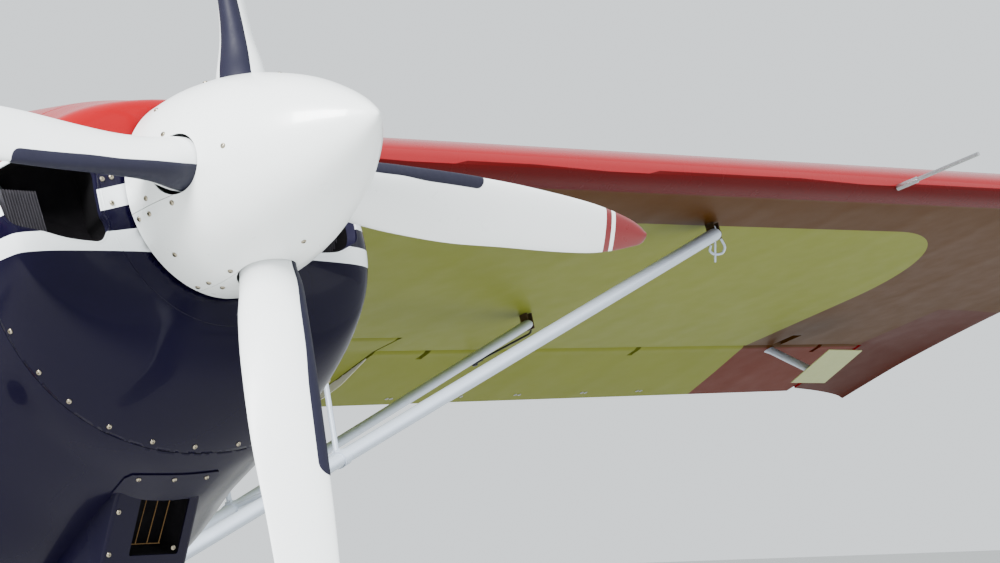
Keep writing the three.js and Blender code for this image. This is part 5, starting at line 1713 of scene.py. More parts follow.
@dataclass
class Fuselage:
    """Boot cowl, cabin with its doors and glass, roof, windscreen and the tail cone."""

    boot_rows: tuple[Point, ...] = (
        (1.050, 0.372, 0.335, -0.548, 2.8, 5.5), (1.140, 0.372, 0.344, -0.556, 3, 7),
        (1.248, 0.372, 0.352, -0.560, 3.2, 9),
    )
    tail_rows: tuple[Point, ...] = (
        (2.9613, 0.368, 0.562, -0.552, 3.2, 8), (3.600, 0.305, 0.470, -0.455, 3, 8),
        (4.400, 0.224, 0.364, -0.330, 2.8, 7), (5.200, 0.140, 0.266, -0.196, 2.6, 6),
        (5.800, 0.076, 0.204, -0.098, 3, 5), (6.068, 0.046, 0.178, -0.054, 3, 5),
    )

    def build(self) -> None:
        """Builds every piece."""
        hoops = Hoops(self.boot_rows, -0.05)
        rows = along(self.boot_rows, 16)
        shape = Shape().skin([hoops.ring(row, count=180) for row in rows], ends=False)
        make(
            shape, "boot_cowl_skin", "airframe", [LIVERY], ["boot_cowl"], wall=0.004, sharp=60.0
        )
        hoops = Hoops(self.tail_rows, 0.02)
        rows = along(self.tail_rows, 60, (0, 1))
        shape = Shape().skin([hoops.ring(row, count=144) for row in rows])
        make(shape, "tail_cone_skin", "airframe", [LIVERY], ["tail_cone"], sharp=50.0)
        for node in ("cabin_shell", "door_lower", "door_upper"):
            paint(node, LIVERY, rounding=0.003)
        paint("roof", RED_PAINT, rounding=0.003)
        sides = ("window_left", "rear_window_left", "rear_window_right")
        for node in ("windscreen", "skylight", *sides, "door_glass"):
            paint(node, GLASS)


@dataclass
class Cabin:
    """What dresses the cabin: gaskets, screws, the door's handle, the panel and the sticks."""

    half: float = 0.372
    rear_window: tuple[Point, ...] = ((2.375, 0.060), (2.845, 0.200), (2.845, 0.372), (2.375, 0.400))
    side_window: tuple[Point, ...] = ((1.300, 0.026), (2.300, 0.026), (2.300, 0.410), (1.385, 0.440))
    panel_face: float = 1.238
    # columns: x, z, radius
    dials: tuple[Point, ...] = (
        (-0.180, 0.225, 0.036), (-0.090, 0.235, 0.036), (0.0, 0.235, 0.036), (-0.180, 0.135, 0.036),
        (-0.090, 0.145, 0.036), (0.0, 0.145, 0.036), (0.235, 0.205, 0.026), (0.235, 0.140, 0.026),
        (0.235, 0.075, 0.026), (-0.262, 0.180, 0.026),
    )
    sticks: tuple[float, ...] = (1.545, 2.235)
    stick_level: float = -0.480
    gasket: float = 0.0046
    gasket_step: float = 0.04

    def build(self) -> None:
        """Builds every piece."""
        self.build_seals()
        self.build_handle()
        self.build_panel()
        self.build_sticks()

    @staticmethod
    def inset(outline: Sequence[Point], by: float) -> list[tuple[float, float]]:
        """A window's outline drawn in by the same step at each of its sides."""
        (a, b), (c, d), (e, f), (g, h) = outline
        return [(a + by, b + by), (c - by, d + by), (e - by, f - by), (g + by, h - by)]

    def stepped(self, outline: Sequence[Point], x: float, pitch: float) -> list[Vector]:
        """Points at even steps round an outline on the cabin's side."""
        points = []
        for (y0, z0), (y1, z1) in zip(outline, [*outline[1:], outline[0]]):
            count = max(2, round(math.hypot(y1 - y0, z1 - z0) / pitch))
            for i in range(count):
                share = i / count
                points.append(Vector((x, y0 + (y1 - y0) * share, z0 + (z1 - z0) * share)))
        return points

    def build_seals(self) -> None:
        """Lays a gasket round each window and screws beside it."""
        seals, places = Shape(), []
        x = self.half + 0.0003
        fixed = [(1, self.side_window), (1, self.rear_window), (-1, self.rear_window)]
        for side, outline in fixed:
            line = self.stepped(self.inset(outline, 0.003), side * x, self.gasket_step)
            seals.tube(line, self.gasket, 10, closed=True)
            out = self.inset(outline, -0.013)
            places += [(point, Vector((side, 0, 0))) for point in self.stepped(out, side * x, 0.075)]
        make(seals, "window_gaskets", "airframe", [GASKET])
        heads = Screws(radius=0.0034, height=0.0016, sides=16)
        make(heads.gather(places), "window_screws", "airframe", [SCREW], sharp=50.0)
        line = self.stepped(self.inset(self.side_window, 0.063), -x, self.gasket_step)
        seal = Shape().tube(line, self.gasket, 10, closed=True)
        make(seal, "door_gasket", "door_upper", [GASKET])
        ring = self.stepped(self.inset(self.side_window, 0.040), -x, 0.085)
        shape = heads.gather([(point, Vector((-1, 0, 0))) for point in ring])
        make(shape, "door_screws", "door_upper", [SCREW], sharp=50.0)

    def build_handle(self) -> None:
        """Puts the latch handle on the lower door."""
        x, y, z = -self.half, 2.205, -0.030
        plate = [(0.0, 0.0015), (0.020, 0.0015), (0.021, 0.0005), (0.021, -0.0010)]
        shape = Shape().turned(plate, (x, y, z), (-1, 0, 0), 32)
        shape.turned([(0.008, 0), (0.008, 0.010), (0.0065, 0.0125), (0, 0.0125)], (x, y, z), (-1, 0, 0), 24)
        grip = ((0.008, 0.0, 0.0), (0.011, 0.030, 0.0), (0.011, 0.070, 0.002), (0.009, 0.094, 0.004))
        line = smooth([(i, *step) for i, step in enumerate(grip)], np.linspace(0, 3, 13))
        shape.tube([(x - out, y - run, z - fall) for out, run, fall in line], 0.0052, 12)
        make(shape, "door_handle", "door_lower", [METAL])

    def build_panel(self) -> None:
        """Sets bezels, dial faces, needles, radios and switches on the instrument panel."""
        paint("instrument_panel", PANEL_BLACK, rounding=0.002)
        face = self.panel_face
        bezels, marks, knobs = Shape(), Shape(), Shape()
        for k, (x, z, r) in enumerate(self.dials):
            rows = [
                (r, -0.001), (r, 0.0035), (r * 0.95, 0.006), (r * 0.86, 0.006), (r * 0.83, 0.0015),
                (0, 0.0015),
            ]
            bezels.turned(rows, (x, face, z), (0, 1, 0), 40)
            at = Matrix.Translation((x, face + 0.0016, z))
            for i in range(12):
                tick = Shape().block((-0.0006, 0, r * 0.68), (0.0006, 0.0006, r * 0.79))
                marks.join(tick, at @ Matrix.Rotation(math.pi * i / 6, 4, "Y"))
            needle = [(-0.0014, -0.14), (0.0014, -0.14), (0.0003, 0.62), (-0.0003, 0.62)]
            turn = at @ Matrix.Rotation(0.9 + 1.7 * k, 4, "Y")
            marks.prism([turn @ Vector((dx, 0.001, r * up)) for dx, up in needle], (0, 0.0006, 0))
        for low, high in ((0.085, 0.130), (0.136, 0.181), (0.187, 0.222)):
            bezels.block((0.062, face - 0.002, low), (0.186, face + 0.006, high))
            marks.block((0.082, face + 0.006, low + 0.012), (0.166, face + 0.0066, high - 0.010))
            for x in (0.072, 0.176):
                knob = [(0.0065, 0.0), (0.0065, 0.010), (0.0055, 0.012), (0, 0.012)]
                knobs.turned(knob, (x, face + 0.006, (low + high) / 2), (0, 1, 0), 24)
        nut = [(0.0058, -0.001), (0.0058, 0.002), (0.003, 0.003), (0.0, 0.003)]
        for i in range(9):
            x = -0.215 + 0.030 * i
            knobs.turned(nut, (x, face, 0.050), (0, 1, 0), 12)
            knobs.tube([(x, face + 0.002, 0.050), (x, face + 0.014, 0.055)], 0.0018, 10)
        for x, reach in ((0.10, 0.055), (0.15, 0.035), (0.20, 0.03)):
            rows = [
                (0.0045, -0.001), (0.0045, reach), (0.013, reach + 0.004), (0.015, reach + 0.012),
                (0.012, reach + 0.02), (0.0, reach + 0.022),
            ]
            knobs.turned(rows, (x, face, 0.015), (0, 1, 0), 24)
        make(bezels, "panel_bezels", "airframe", [DIAL_BLACK], bevel=0.0004)
        make(marks, "panel_marks", "airframe", [DIAL_WHITE])
        make(knobs, "panel_knobs", "airframe", [METAL])

    def build_sticks(self) -> None:
        """Builds the torque tube with its two sticks and their grips."""
        shape = Shape().tube([(0, y, self.stick_level) for y in (1.497, 2.274)], 0.0145, 24)
        collar = [(0.0162, -0.022), (0.0175, -0.018), (0.0175, 0.018), (0.0162, 0.022)]
        bend = ((0, -0.470), (0.004, -0.40), (0.013, -0.32), (0.022, -0.24), (0.028, -0.17))
        for y in self.sticks:
            shape.turned(collar, (0, y, self.stick_level), (0, 1, 0), 28)
            shape.tube([(0, y - ahead, z) for ahead, z in bend], 0.0105, 20)
            foot, head = Vector((0, y - 0.019, -0.260)), Vector((0, y - 0.030, -0.140))
            rows = [
                (0.0115, 0.0), (0.0165, 0.004), (0.0175, 0.018), (0.0155, 0.034), (0.0172, 0.050),
                (0.0158, 0.068), (0.0178, 0.088), (0.0185, 0.104), (0.015, 0.116), (0.0, 0.1195),
            ]
            shape.turned(rows, foot, head - foot, 28, finish=1)
        make(shape, "control_stick_set", "airframe", [SEAT_METAL, GASKET], ["control_sticks"])


@dataclass
class Cushion:
    """A seat pad: blown up a little by a cloth simulation, then drawn in along its sewn channels."""

    name: str
    size: tuple[float, float, float]
    channels: tuple[float, ...]
    inset: float = 0.009
    corner: float = 0.050
    voxel: float = 0.006
    cap: float = 0.022
    depth: float = 0.007
    pressure: float = 4.0
    frames: int = 20

    def ring(self, width: float, length: float, height: float, corner: float) -> list[Vector]:
        """A rectangle with rounded corners, level with the pad."""
        points = []
        for k, (sx, sy) in enumerate(((1, 1), (-1, 1), (-1, -1), (1, -1))):
            for step in range(9):
                turn = math.pi / 2 * (k + step / 8)
                x = sx * (width / 2 - corner) + corner * math.cos(turn)
                points.append(Vector((x, sy * (length / 2 - corner) + corner * math.sin(turn), height)))
        return points

    def start(self) -> bpy.types.Object:
        """The form before the simulation, a little smaller than the pad, as an even mesh."""
        width, length, thick = (side - 2 * self.inset for side in self.size)
        rings = []
        for step in range(11):
            turn = math.pi * (step / 10 - 0.5)
            draw = 0.8 * thick / 2 * (1 - math.cos(turn))
            corner = max(0.012, self.corner - draw)
            rings.append(self.ring(width - 2 * draw, length - 2 * draw, thick / 2 * math.sin(turn), corner))
        pad = hold(self.name, Shape().skin(rings).mesh(self.name, Matrix.Identity(4), 180.0))
        even = pad.modifiers.new("even", "REMESH")
        even.mode = "VOXEL"
        even.voxel_size = self.voxel
        even.use_smooth_shade = True
        return settle(pad)

    def inflate(self, pad: bpy.types.Object) -> None:
        """Blows the pad up with the cloth solver; no point moves beyond the cap."""
        scene = bpy.context.scene
        rest = [vertex.co.copy() for vertex in pad.data.vertices]
        cloth = pad.modifiers.new("cloth", "CLOTH")
        cloth.settings.use_pressure = True
        cloth.settings.uniform_pressure_force = self.pressure
        cloth.settings.effector_weights.gravity = 0.0
        cloth.point_cache.frame_start, cloth.point_cache.frame_end = 1, self.frames
        for number in range(1, self.frames + 1):
            scene.frame_set(number)
        settle(pad)
        scene.frame_set(1)
        for vertex, start in zip(pad.data.vertices, rest):
            move = vertex.co - start
            if move.length > self.cap:
                vertex.co = start + move * (self.cap / move.length)

    def quilt(self, pad: bpy.types.Object) -> None:
        """Keeps the pad in its space, flat below, and draws its channels in."""
        half = [side / 2 for side in self.size]
        for vertex in pad.data.vertices:
            x, y, z = vertex.co
            top = min(1.0, max(0.0, z / (0.3 * half[2])))
            for place in self.channels:
                off = y - place
                near = math.exp(-((off / 0.006) ** 2)) + 0.35 * math.exp(-((off / 0.020) ** 2))
                z -= self.depth * near * top * min(1.0, (half[0] - abs(x)) / 0.03)
            vertex.co = [max(-limit, min(limit, value)) for limit, value in zip(half, (x, y, z))]

    def welt(self, pad: bpy.types.Object) -> Shape:
        """The piping sewn round the pad where its top meets its side."""
        corners = [tuple(face.vertices) for face in pad.data.polygons]
        tree = BVHTree.FromPolygons([vertex.co.copy() for vertex in pad.data.vertices], corners)
        level = self.size[2] * 0.22
        path = []
        for point in self.ring(self.size[0] + 0.1, self.size[1] + 0.1, level, 0.09):
            aim = Vector((-point.x * 0.25, -point.y * 0.25, 0.0))
            place, _, _, _ = tree.ray_cast(point, aim.normalized())
            if place is not None:
                path.append(place)
        return Shape().tube(path, 0.0030, 8, closed=True)

    def build(self) -> tuple[bpy.types.Mesh, Shape]:
        """Makes the pad's mesh and its piping, in the pad's own frame."""
        pad = self.start()
        self.inflate(pad)
        finer = pad.modifiers.new("finer", "SUBSURF")
        finer.levels = finer.render_levels = 1
        settle(pad)
        self.quilt(pad)
        welt = self.welt(pad)
        mesh = pad.data
        bpy.data.objects.remove(pad)
        return mesh, welt


@dataclass
class Seats:
    """Two seats alike: pedestals and a pan of sheet metal, a back panel and two sewn cushions."""

    fronts: dict[str, float] = field(default_factory=lambda: {"seat_front": 1.590, "seat_rear": 2.270})
    lean: Point = (0.0, 0.2022, 0.9793)
    squab: tuple[float, float, float] = (0.426, 0.400, 0.076)
    back: tuple[float, float, float] = (0.406, 0.484, 0.062)
    # The round holes in the pedestals: how far aft of the seat's front, how high, radius
    holes: tuple[float, ...] = (0.145, 0.295)
    hole_level: float = -0.425
    hole: float = 0.044

    def back_frame(self, front: float, rise: float, out: float) -> Matrix:
        """The back's frame: X across, Y up the back, Z out of its face."""
        up = Vector(self.lean)
        face = PORT.cross(up)
        turn = Matrix((PORT, up, face)).transposed().to_4x4()
        return Matrix.Translation(Vector((0, front + 0.395, -0.300)) + up * rise + face * out) @ turn

    def build(self) -> None:
        """Builds both seats from one set of pads."""
        pads = {
            "squab": Cushion("squab", self.squab, (-0.10, 0.0, 0.10)).build(),
            "back": Cushion("back", self.back, (-0.135, -0.045, 0.045, 0.135)).build(),
        }
        for node, front in self.fronts.items():
            places = {
                "squab": Matrix.Translation((0, front + 0.203, -0.2795)),
                "back": self.back_frame(front, 0.306, 0.007),
            }
            for word, (mesh, welt) in pads.items():
                own, place, name = mesh.copy(), PLACE @ places[word], f"{node}_{word}"
                own.transform(place)
                pad = hold(name, own)
                own.materials.clear()
                own.materials.append(SEAT_CLOTH.material())
                enter(pad, "airframe", [node])
                make(welt, f"{name}_piping", "airframe", [SEAT_TRIM], (), place)
            self.build_frame(node, front)

    def build_frame(self, node: str, front: float) -> None:
        """Builds the pedestals, the pan and the back panel."""
        shape, holes = Shape(), Shape()
        for side in (-1, 1):
            for x in (0.050, 0.170):
                outline = [(side * x, front + y, z) for y, z in self.pedestal()]
                shape.prism(outline, (side * 0.0025, 0, 0))
            for y in (0.072, 0.364):
                low, high = sorted((side * 0.050, side * 0.1725))
                shape.block((low, front + y, -0.529), (high, front + y + 0.0025, -0.334))
        for y in self.holes:
            bore = [(self.hole, -0.25), (self.hole, 0.25)]
            holes.turned(bore, (0, front + y, self.hole_level), (1, 0, 0), 40)
        piece = make(shape, f"{node}_pedestal", "airframe", [SEAT_METAL], [node], sharp=30.0)
        cut(piece, holes)
        rims = Shape()
        turns = np.linspace(0, 2 * math.pi, 9)[:-1]
        bead = [(self.hole + 0.0035 * math.cos(a), 0.0035 * math.sin(a)) for a in turns]
        for y in self.holes:
            for x in (-0.171, -0.051, 0.051, 0.171):
                rims.turned(bead, (x, front + y, self.hole_level), (1, 0, 0), 40, wrap=True)
        pad = Cushion("", (0.0, 0.0, 0.0), ())
        pan = (
            (0.36, 0.37, -0.3325, 0.03), (0.384, 0.394, -0.3295, 0.04), (0.388, 0.398, -0.318, 0.04),
            (0.382, 0.392, -0.318, 0.038), (0.372, 0.382, -0.326, 0.034),
        )
        rims.skin([[p + Vector((0, front + 0.205, 0)) for p in pad.ring(*size)] for size in pan])
        at = self.back_frame(front, 0.2775, -0.033)
        sheet = (
            (0.386, 0.528, -0.006, 0.044), (0.396, 0.538, -0.0035, 0.048), (0.396, 0.538, 0.003, 0.048),
            (0.386, 0.528, 0.0055, 0.044),
        )
        rims.skin([[at @ p for p in pad.ring(*size)] for size in sheet])
        for x in (-0.115, 0.0, 0.115):
            rims.tube([at @ Vector((x, y, -0.004)) for y in (-0.225, -0.2, 0.2, 0.225)], 0.0048, 12)
        make(rims, f"{node}_pan", "airframe", [SEAT_METAL], (), sharp=40.0)

    @staticmethod
    def pedestal() -> list[tuple[float, float]]:
        """A pedestal plate's outline, as y from the seat's front and z."""
        corners = ((0.068, -0.529), (0.372, -0.529), (0.372, -0.3335), (0.068, -0.3335))
        outline = []
        for k, (y, z) in enumerate(corners):
            middle = y + (1 if k in (0, 3) else -1) * 0.012, z + (1 if k < 2 else -1) * 0.012
            for step in range(5):
                turn = math.pi + math.pi / 2 * (k + step / 4)
                outline.append((middle[0] + 0.012 * math.cos(turn), middle[1] + 0.012 * math.sin(turn)))
        return outline


@dataclass
class Tail:
    """Fin, rudder, tailplane and elevator, lofted with round noses, with their stays and lugs."""

    post: float = 6.076
    rudder_hinge: float = 6.100
    plane_back: float = 5.924
    elevator_hinge: float = 5.950
    level: float = 0.118
    # columns: z, y of the leading edge, half thickness
    fin: tuple[Point, ...] = (
        (0.100, 5.150, 0.015), (0.300, 5.400, 0.015), (0.700, 5.665, 0.015), (1.010, 5.850, 0.014),
        (1.110, 5.965, 0.012), (1.120, 5.985, 0.008),
    )
    # columns: z, y of the trailing edge, radius of the nose
    rudder: tuple[Point, ...] = (
        (-0.050, 6.330, 0.016), (0.060, 6.440, 0.016), (0.300, 6.560, 0.016), (0.620, 6.600, 0.016),
        (0.900, 6.560, 0.016), (1.060, 6.440, 0.016), (1.135, 6.290, 0.016),
    )
    # columns: x, y of the leading edge, half thickness
    plane: tuple[Point, ...] = (
        (0.030, 5.330, 0.016), (0.500, 5.392, 0.016), (1.100, 5.475, 0.0144), (1.400, 5.560, 0.0112),
        (1.500, 5.690, 0.0075), (1.520, 5.730, 0.005),
    )
    # columns: x, y of the trailing edge, radius of the nose
    elevator: tuple[Point, ...] = (
        (0.086, 6.080, 0.017), (0.250, 6.400, 0.017), (0.700, 6.420, 0.017), (1.200, 6.400, 0.017),
        (1.440, 6.330, 0.017), (1.540, 6.190, 0.017),
    )
    rudder_lugs: tuple[float, ...] = (0.300, 0.640, 0.980)
    elevator_lugs: tuple[float, ...] = (0.300, 0.800, 1.300)
    lug: tuple[float, float, float] = (0.016, 0.008, 0.005)
    stay_radius: float = 0.004

    @staticmethod
    def fixed(front: float, back: float, half: float) -> list[tuple[float, float]]:
        """A section with a rounded nose and a flat back, as y and the way across."""
        nose = min(0.09, 0.4 * (back - front))
        upper = []
        for step in range(13):
            turn = math.pi / 2 * step / 12
            upper.append((front + nose * (1 - math.cos(turn)), half * math.sin(turn)))
        upper += [(back - 0.002, half), (back, half - 0.001)]
        return upper + [(y, -v) for y, v in upper[:0:-1]]

    @staticmethod
    def moving(hinge: float, back: float, radius: float) -> list[tuple[float, float]]:
        """A section that turns about its round nose and thins to its trailing edge."""
        upper = []
        for step in range(13):
            turn = math.pi / 2 * step / 12
            upper.append((hinge - radius * math.cos(turn), radius * math.sin(turn)))
        for share in (0.3, 0.7, 0.985):
            upper.append((hinge + (back - hinge) * share, radius + (0.003 - radius) * share))
        upper.append((back, 0.0012))
        return upper + [(y, -v) for y, v in upper[:0:-1]]

    def build(self) -> None:
        """Builds every piece."""
        self.build_upright()
        for side in Side:
            self.build_plane(side)
        self.build_elevator()

    def build_upright(self) -> None:
        """Lofts the fin with its lugs, and the rudder with its notches."""
        rows = along(self.fin, 30)
        rings = [[(v, y, z) for y, v in self.fixed(front, self.post, half)] for z, front, half in rows]
        make(Shape().skin(rings), "fin_skin", "airframe", [FIN_FABRIC], ["fin"], sharp=50.0)
        width, radius, clear = self.lug
        lugs, notches = Shape(), Shape()
        for z in self.rudder_lugs:
            low = (-radius, self.post - 0.004, z - width / 2)
            lugs.block(low, (radius, self.rudder_hinge, z + width / 2))
            lugs.turned([(radius, -width / 2), (radius, width / 2)], (0, self.rudder_hinge, z), (0, 0, 1), 20)
            reach, gap = radius + clear, width / 2 + NOTCH_ROOM
            notches.block((-0.05, 6.05, z - gap), (0.05, self.rudder_hinge + reach, z + gap))
        make(lugs, "rudder_lugs", "airframe", [METAL])
        rows = along(self.rudder, 36)
        rings = [[(v, y, z) for y, v in self.moving(self.rudder_hinge, back, r)] for z, back, r in rows]
        skin = Shape().skin(rings)
        piece = make(skin, "rudder_skin", "rudder", [FIN_FABRIC], ["rudder"], sharp=50.0)
        cut(piece, notches)

    def build_plane(self, side: Side) -> None:
        """Lofts one half of the tailplane, with its lugs and stays."""
        place, word = PLACE @ side.matrix, side.word
        rings = []
        for x, front, half in along(self.plane, 32):
            rings.append([(x, y, self.level + v) for y, v in self.fixed(front, self.plane_back, half)])
        make(
            Shape().skin(rings), f"tailplane_{word}_skin", "airframe", [PLANE_FABRIC],
            [f"tailplane_{word}"], place, sharp=50.0,
        )
        width, radius, _ = self.lug
        fittings = Shape()
        for x in self.elevator_lugs:
            low = (x - width / 2, self.plane_back - 0.004, self.level - radius)
            fittings.block(low, (x + width / 2, self.elevator_hinge, self.level + radius))
            at = (x, self.elevator_hinge, self.level)
            fittings.turned([(radius, -width / 2), (radius, width / 2)], at, (1, 0, 0), 20)
        clevis = [(0.0, 0.012), (0.0065, 0.014), (0.0075, 0.02), (0.0075, 0.052), (0.0045, 0.058), (0, 0.058)]
        start = Vector((0.860, 5.730, self.level))
        for end in (Vector((0.012, 5.848, 0.722)), Vector((0.030, 5.804, -0.054))):
            fittings.tube([start, end], self.stay_radius, 10)
            run = (end - start).normalized()
            for near, far in ((start, 1), (end, -1)):
                fittings.turned(clevis, near, run * far, 14)
        make(fittings, f"tailplane_fittings_{word}", "airframe", [METAL], (), place)

    def build_elevator(self) -> None:
        """Lofts both halves of the elevator, with their notches and the tube between them."""
        width, radius, clear = self.lug
        shape, notches = Shape(), Shape()
        for side in Side:
            rings = []
            for x, back, r in along(self.elevator, 36):
                rings.append([(x, y, self.level + v) for y, v in self.moving(self.elevator_hinge, back, r)])
            shape.join(Shape().skin(rings), side.matrix)
            for x in self.elevator_lugs:
                reach, gap = radius + clear, width / 2 + NOTCH_ROOM
                notch = Shape().block((x - gap, 5.90, 0.0), (x + gap, self.elevator_hinge + reach, 0.24))
                notches.join(notch, side.matrix)
        finishes = [PLANE_FABRIC]
        piece = make(shape, "elevator_skin", "elevator", finishes, ["elevator"], sharp=50.0)
        cut(piece, notches)
        tube = Shape().tube([(x, self.elevator_hinge, self.level) for x in (-0.12, 0.12)], 0.013, 24)
        make(tube, "elevator_torque_tube", "elevator", [SILVER])


@dataclass
class Gear:
    """Legs, wheels and tyres, and the castering tailwheel."""

    hub: Point = (0.92, 1.35, -1.06)
    tail_hub: Point = (0.0, 6.265, -0.1993)
    # Half of the tyre's section: place along the axle, radius
    tyre: tuple[Point, ...] = (
        (0.076, 0.1503), (0.0875, 0.156), (0.0955, 0.170), (0.0992, 0.190), (0.100, 0.210), (0.096, 0.235),
        (0.085, 0.252), (0.070, 0.266), (0.053, 0.2745), (0.038, 0.2785), (0.020, 0.2798), (0.0, 0.280),
    )
    grooves: tuple[float, ...] = (-0.050, -0.025, 0.0, 0.025, 0.050)
    bolt_circle: float = 0.090
    # The wheel's section: radius, place along the axle
    rim: tuple[Point, ...] = (
        (0.0225, -0.060), (0.058, -0.060), (0.060, -0.056), (0.060, -0.036), (0.064, -0.034), (0.116, -0.034),
        (0.119, -0.038), (0.124, -0.075), (0.127, -0.078), (0.149, -0.078), (0.1502, -0.076),
        (0.1502, -0.073), (0.143, -0.064), (0.142, -0.058), (0.142, 0.058), (0.143, 0.064),
        (0.1502, 0.073), (0.1502, 0.076),
        (0.149, 0.078), (0.127, 0.078), (0.124, 0.075), (0.119, 0.038), (0.116, 0.034), (0.064, 0.034),
        (0.060, 0.036), (0.060, 0.064), (0.058, 0.068), (0.0225, 0.068),
    )
    # Half of the small tyre's section: place along the axle, radius
    tail_tyre: tuple[Point, ...] = (
        (0.0, 0.100), (0.012, 0.0992), (0.021, 0.0955), (0.027, 0.088), (0.031, 0.077), (0.031, 0.066),
        (0.027, 0.058),
    )
    # Half of the small wheel's section: radius, place along the axle
    tail_rim: tuple[Point, ...] = (
        (0.0085, 0.026), (0.020, 0.026), (0.022, 0.024), (0.024, 0.010), (0.048, 0.010), (0.054, 0.024),
        (0.058, 0.0265), (0.0585, 0.0265), (0.0585, 0.0235), (0.0565, 0.022),
    )

    def build(self) -> None:
        """Gives the legs their paint and builds the wheels."""
        for side in Side:
            paint(f"gear_leg_{side.word}", RED_PAINT, rounding=0.003)
            self.build_wheel(side)
        paint("gear_cabane", SILVER, rounding=0.002)
        paint("tail_spring", BLACK_METAL, rounding=0.0015)
        paint("tailwheel_fork", BLACK_METAL, rounding=0.0015)
        self.build_tailwheel()

    def tyre_line(self) -> list[tuple[float, float]]:
        """The tyre's whole section with its grooves, as radius and place along the axle."""
        half = along(self.tyre, 40)
        line = [(r, w) for w, r in half] + [(r, -w) for w, r in half[-2::-1]]
        dense = []
        for (r0, w0), (r1, w1) in zip(line, line[1:]):
            steps = max(1, int(abs(w1 - w0) / 0.0012)) if r0 > 0.268 else 1
            dense += [(r0 + (r1 - r0) * i / steps, w0 + (w1 - w0) * i / steps) for i in range(steps)]
        dense.append(line[-1])
        worn = []
        for r, w in dense:
            near = min(abs(w - groove) for groove in self.grooves)
            deep = 0.006 * min(1.0, max(0.0, (0.0042 - near) / 0.0014)) if r > 0.268 else 0.0
            worn.append((r - deep, w))
        return worn

    def build_wheel(self, side: Side) -> None:
        """Turns one wheel, its grooved tyre and the brake disc, and adds the wheel's bolts and valve."""
        place, word = PLACE @ side.matrix, side.word
        body = f"main_wheel_{word}"
        tyre = Shape().turned(self.tyre_line(), self.hub, (1, 0, 0), 144, wrap=True)
        for offset in (-1, 1):
            for radius in (0.176, 0.226):
                w = float(np.interp(radius, [row[1] for row in self.tyre], [row[0] for row in self.tyre]))
                bead = []
                for a in np.linspace(0, 6.283, 7)[:-1]:
                    bead.append((radius + 0.0022 * math.cos(a), offset * w + 0.0022 * math.sin(a)))
                tyre.turned(bead, self.hub, (1, 0, 0), 96, wrap=True)
        make(tyre, f"tyre_{word}_casing", body, [RUBBER], [f"tyre_{word}"], place, sharp=50.0)
        wheel, node = Shape().turned(self.rim, self.hub, (1, 0, 0), 96, wrap=True), f"wheel_{word}"
        piece = make(wheel, f"{node}_rim", body, [WHEEL_WHITE], [node], place, sharp=40.0)
        holes = Shape()
        for i in range(8):
            turn = Matrix.Rotation(math.pi * (2 * i + 1) / 8, 4, "X")
            at = Vector(self.hub) + turn @ Vector((0, 0, self.bolt_circle))
            holes.turned([(0.013, -0.05), (0.013, 0.05)], at, (1, 0, 0), 24)
        cut(piece, holes, place)
        bolts = Shape()
        bolt = [(0.0085, 0.033), (0.0085, 0.0405), (0.0075, 0.0415), (0, 0.0415)]
        for i in range(8):
            turn = Matrix.Rotation(math.pi * i / 4, 4, "X")
            at = Vector(self.hub) + turn @ Vector((0, 0, self.bolt_circle))
            bolts.turned(bolt, at, (1, 0, 0), 6)
            bolts.turned([(0.0115, 0.033), (0.0115, 0.0352), (0.0, 0.0352)], at, (1, 0, 0), 20)
        valve = Vector(self.hub) + Vector((0.078, 0, 0.130))
        stem = [(0.0042, -0.004), (0.0042, 0.010), (0.0036, 0.011), (0.0036, 0.018), (0, 0.0185)]
        bolts.turned(stem, valve, (0.5, 0, -0.87), 14)
        make(bolts, f"wheel_bolts_{word}", body, [METAL], (), place)
        rows = [
            (0.062, -0.0365), (0.110, -0.0365), (0.1105, -0.037), (0.1105, -0.0415), (0.110, -0.042),
            (0.062, -0.042),
        ]
        disc = Shape().turned(rows, self.hub, (1, 0, 0), 72, wrap=True)
        make(disc, f"brake_disc_{word}", body, [METAL], (), place)

    def build_tailwheel(self) -> None:
        """Turns the small solid tyre on its hub."""
        half = along(self.tail_tyre, 20)
        section = [(r, -w) for w, r in half[::-1]] + [(r, w) for w, r in half[1:]]
        section += [(0.056, 0.022), (0.056, -0.022)]
        tyre = Shape().turned(section, self.tail_hub, (1, 0, 0), 96, wrap=True)
        make(tyre, "tailwheel_tyre", "tail_wheel", [RUBBER], ["tailwheel"], sharp=50.0)
        rim = [(r, -w) for r, w in self.tail_rim] + [(r, w) for r, w in self.tail_rim[::-1]]
        shape = Shape().turned(rim, self.tail_hub, (1, 0, 0), 64, wrap=True)
        make(shape, "tailwheel_rim", "tail_wheel", [METAL])


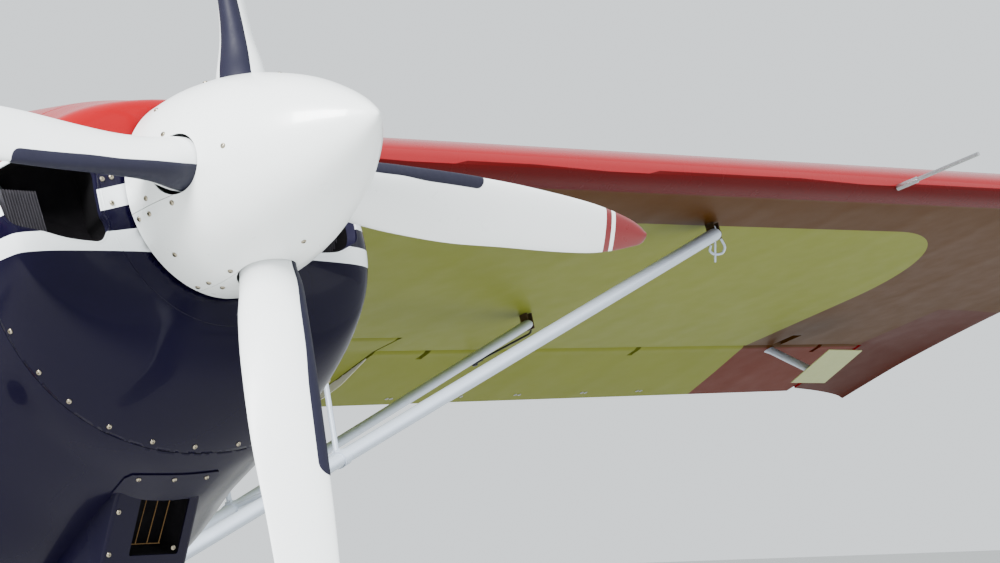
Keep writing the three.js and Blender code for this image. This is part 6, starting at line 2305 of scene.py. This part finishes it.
@dataclass
class Studio:
    """Pale floor, soft light and the camera at the photograph's angle."""

    eye: Point = (-2.899, -3.070, -1.215)
    yaw: float = math.radians(47.845)
    pitch: float = math.radians(13.094)
    roll: float = math.radians(-11.597)
    lens: float = 104.958
    floor_size: float = 120.0
    sky: Rgb = srgb(240, 246, 250)
    sky_strength: float = 1.35

    def build(self) -> None:
        """Builds the camera, the floor and the lights."""
        self.build_camera()
        self.build_floor()
        self.build_lights()

    def build_camera(self) -> None:
        """Sets the camera in the body frame."""
        level = math.cos(self.pitch)
        look = Vector((math.sin(self.yaw) * level, math.cos(self.yaw) * level, math.sin(self.pitch)))
        right = Vector((math.cos(self.yaw), -math.sin(self.yaw), 0.0))
        above = right.cross(look)
        across = right * math.cos(self.roll) + above * math.sin(self.roll)
        over = above * math.cos(self.roll) - right * math.sin(self.roll)
        turn = Matrix((across, over, -look)).transposed().to_4x4()
        data = bpy.data.cameras.new("camera")
        data.lens = self.lens
        data.sensor_width = 36.0
        data.sensor_fit = "HORIZONTAL"
        data.clip_end = 500.0
        camera = hold("camera", data)
        camera.matrix_world = PLACE @ Matrix.Translation(self.eye) @ turn
        bpy.context.scene.camera = camera

    def build_floor(self) -> None:
        """Lays the pale floor."""
        half = self.floor_size / 2
        mesh = bpy.data.meshes.new("floor")
        corners = [(-half, -half, 0), (half, -half, 0), (half, half, 0), (-half, half, 0)]
        mesh.from_pydata(corners, [], [(0, 1, 2, 3)])
        mesh.materials.append(FLOOR.material())
        floor = hold("floor", mesh)

    def build_lights(self) -> None:
        """Lights the scene with a pale surround and two soft panels."""
        world = bpy.data.worlds.new("surround")
        world.use_nodes = True
        sky = world.node_tree.nodes["Background"]
        sky.inputs["Color"].default_value = (*self.sky, 1.0)
        sky.inputs["Strength"].default_value = self.sky_strength
        bpy.context.scene.world = world
        self.add_light("key", (-9.0, -7.0, 11.0), (0.0, 0.0, 1.6), 5.0, 8500.0)
        self.add_light("fill", (10.0, -9.0, 9.0), (0.0, 0.5, 1.4), 10.0, 300.0)

    def add_light(self, name: str, at: Point, aim: Point, size: float, power: float) -> None:
        """Hangs one soft panel in the row frame."""
        data = bpy.data.lights.new(name, "AREA")
        data.size = size
        data.energy = power
        light = hold(name, data)
        direction = Vector(aim) - Vector(at)
        light.matrix_world = Matrix.Translation(at) @ direction.to_track_quat("-Z", "Y").to_matrix().to_4x4()


def main() -> None:
    """Builds the aircraft piece by piece."""
    logging.basicConfig(level=logging.INFO, format="%(name)s: %(message)s")
    Studio().build()
    Propeller().build()
    Cowling().build()
    Fuselage().build()
    Cabin().build()
    Seats().build()
    for side in Side:
        Wing(side).build()
        Struts(side).build()
    Tail().build()
    Gear().build()


if __name__ == "__main__":
    main()
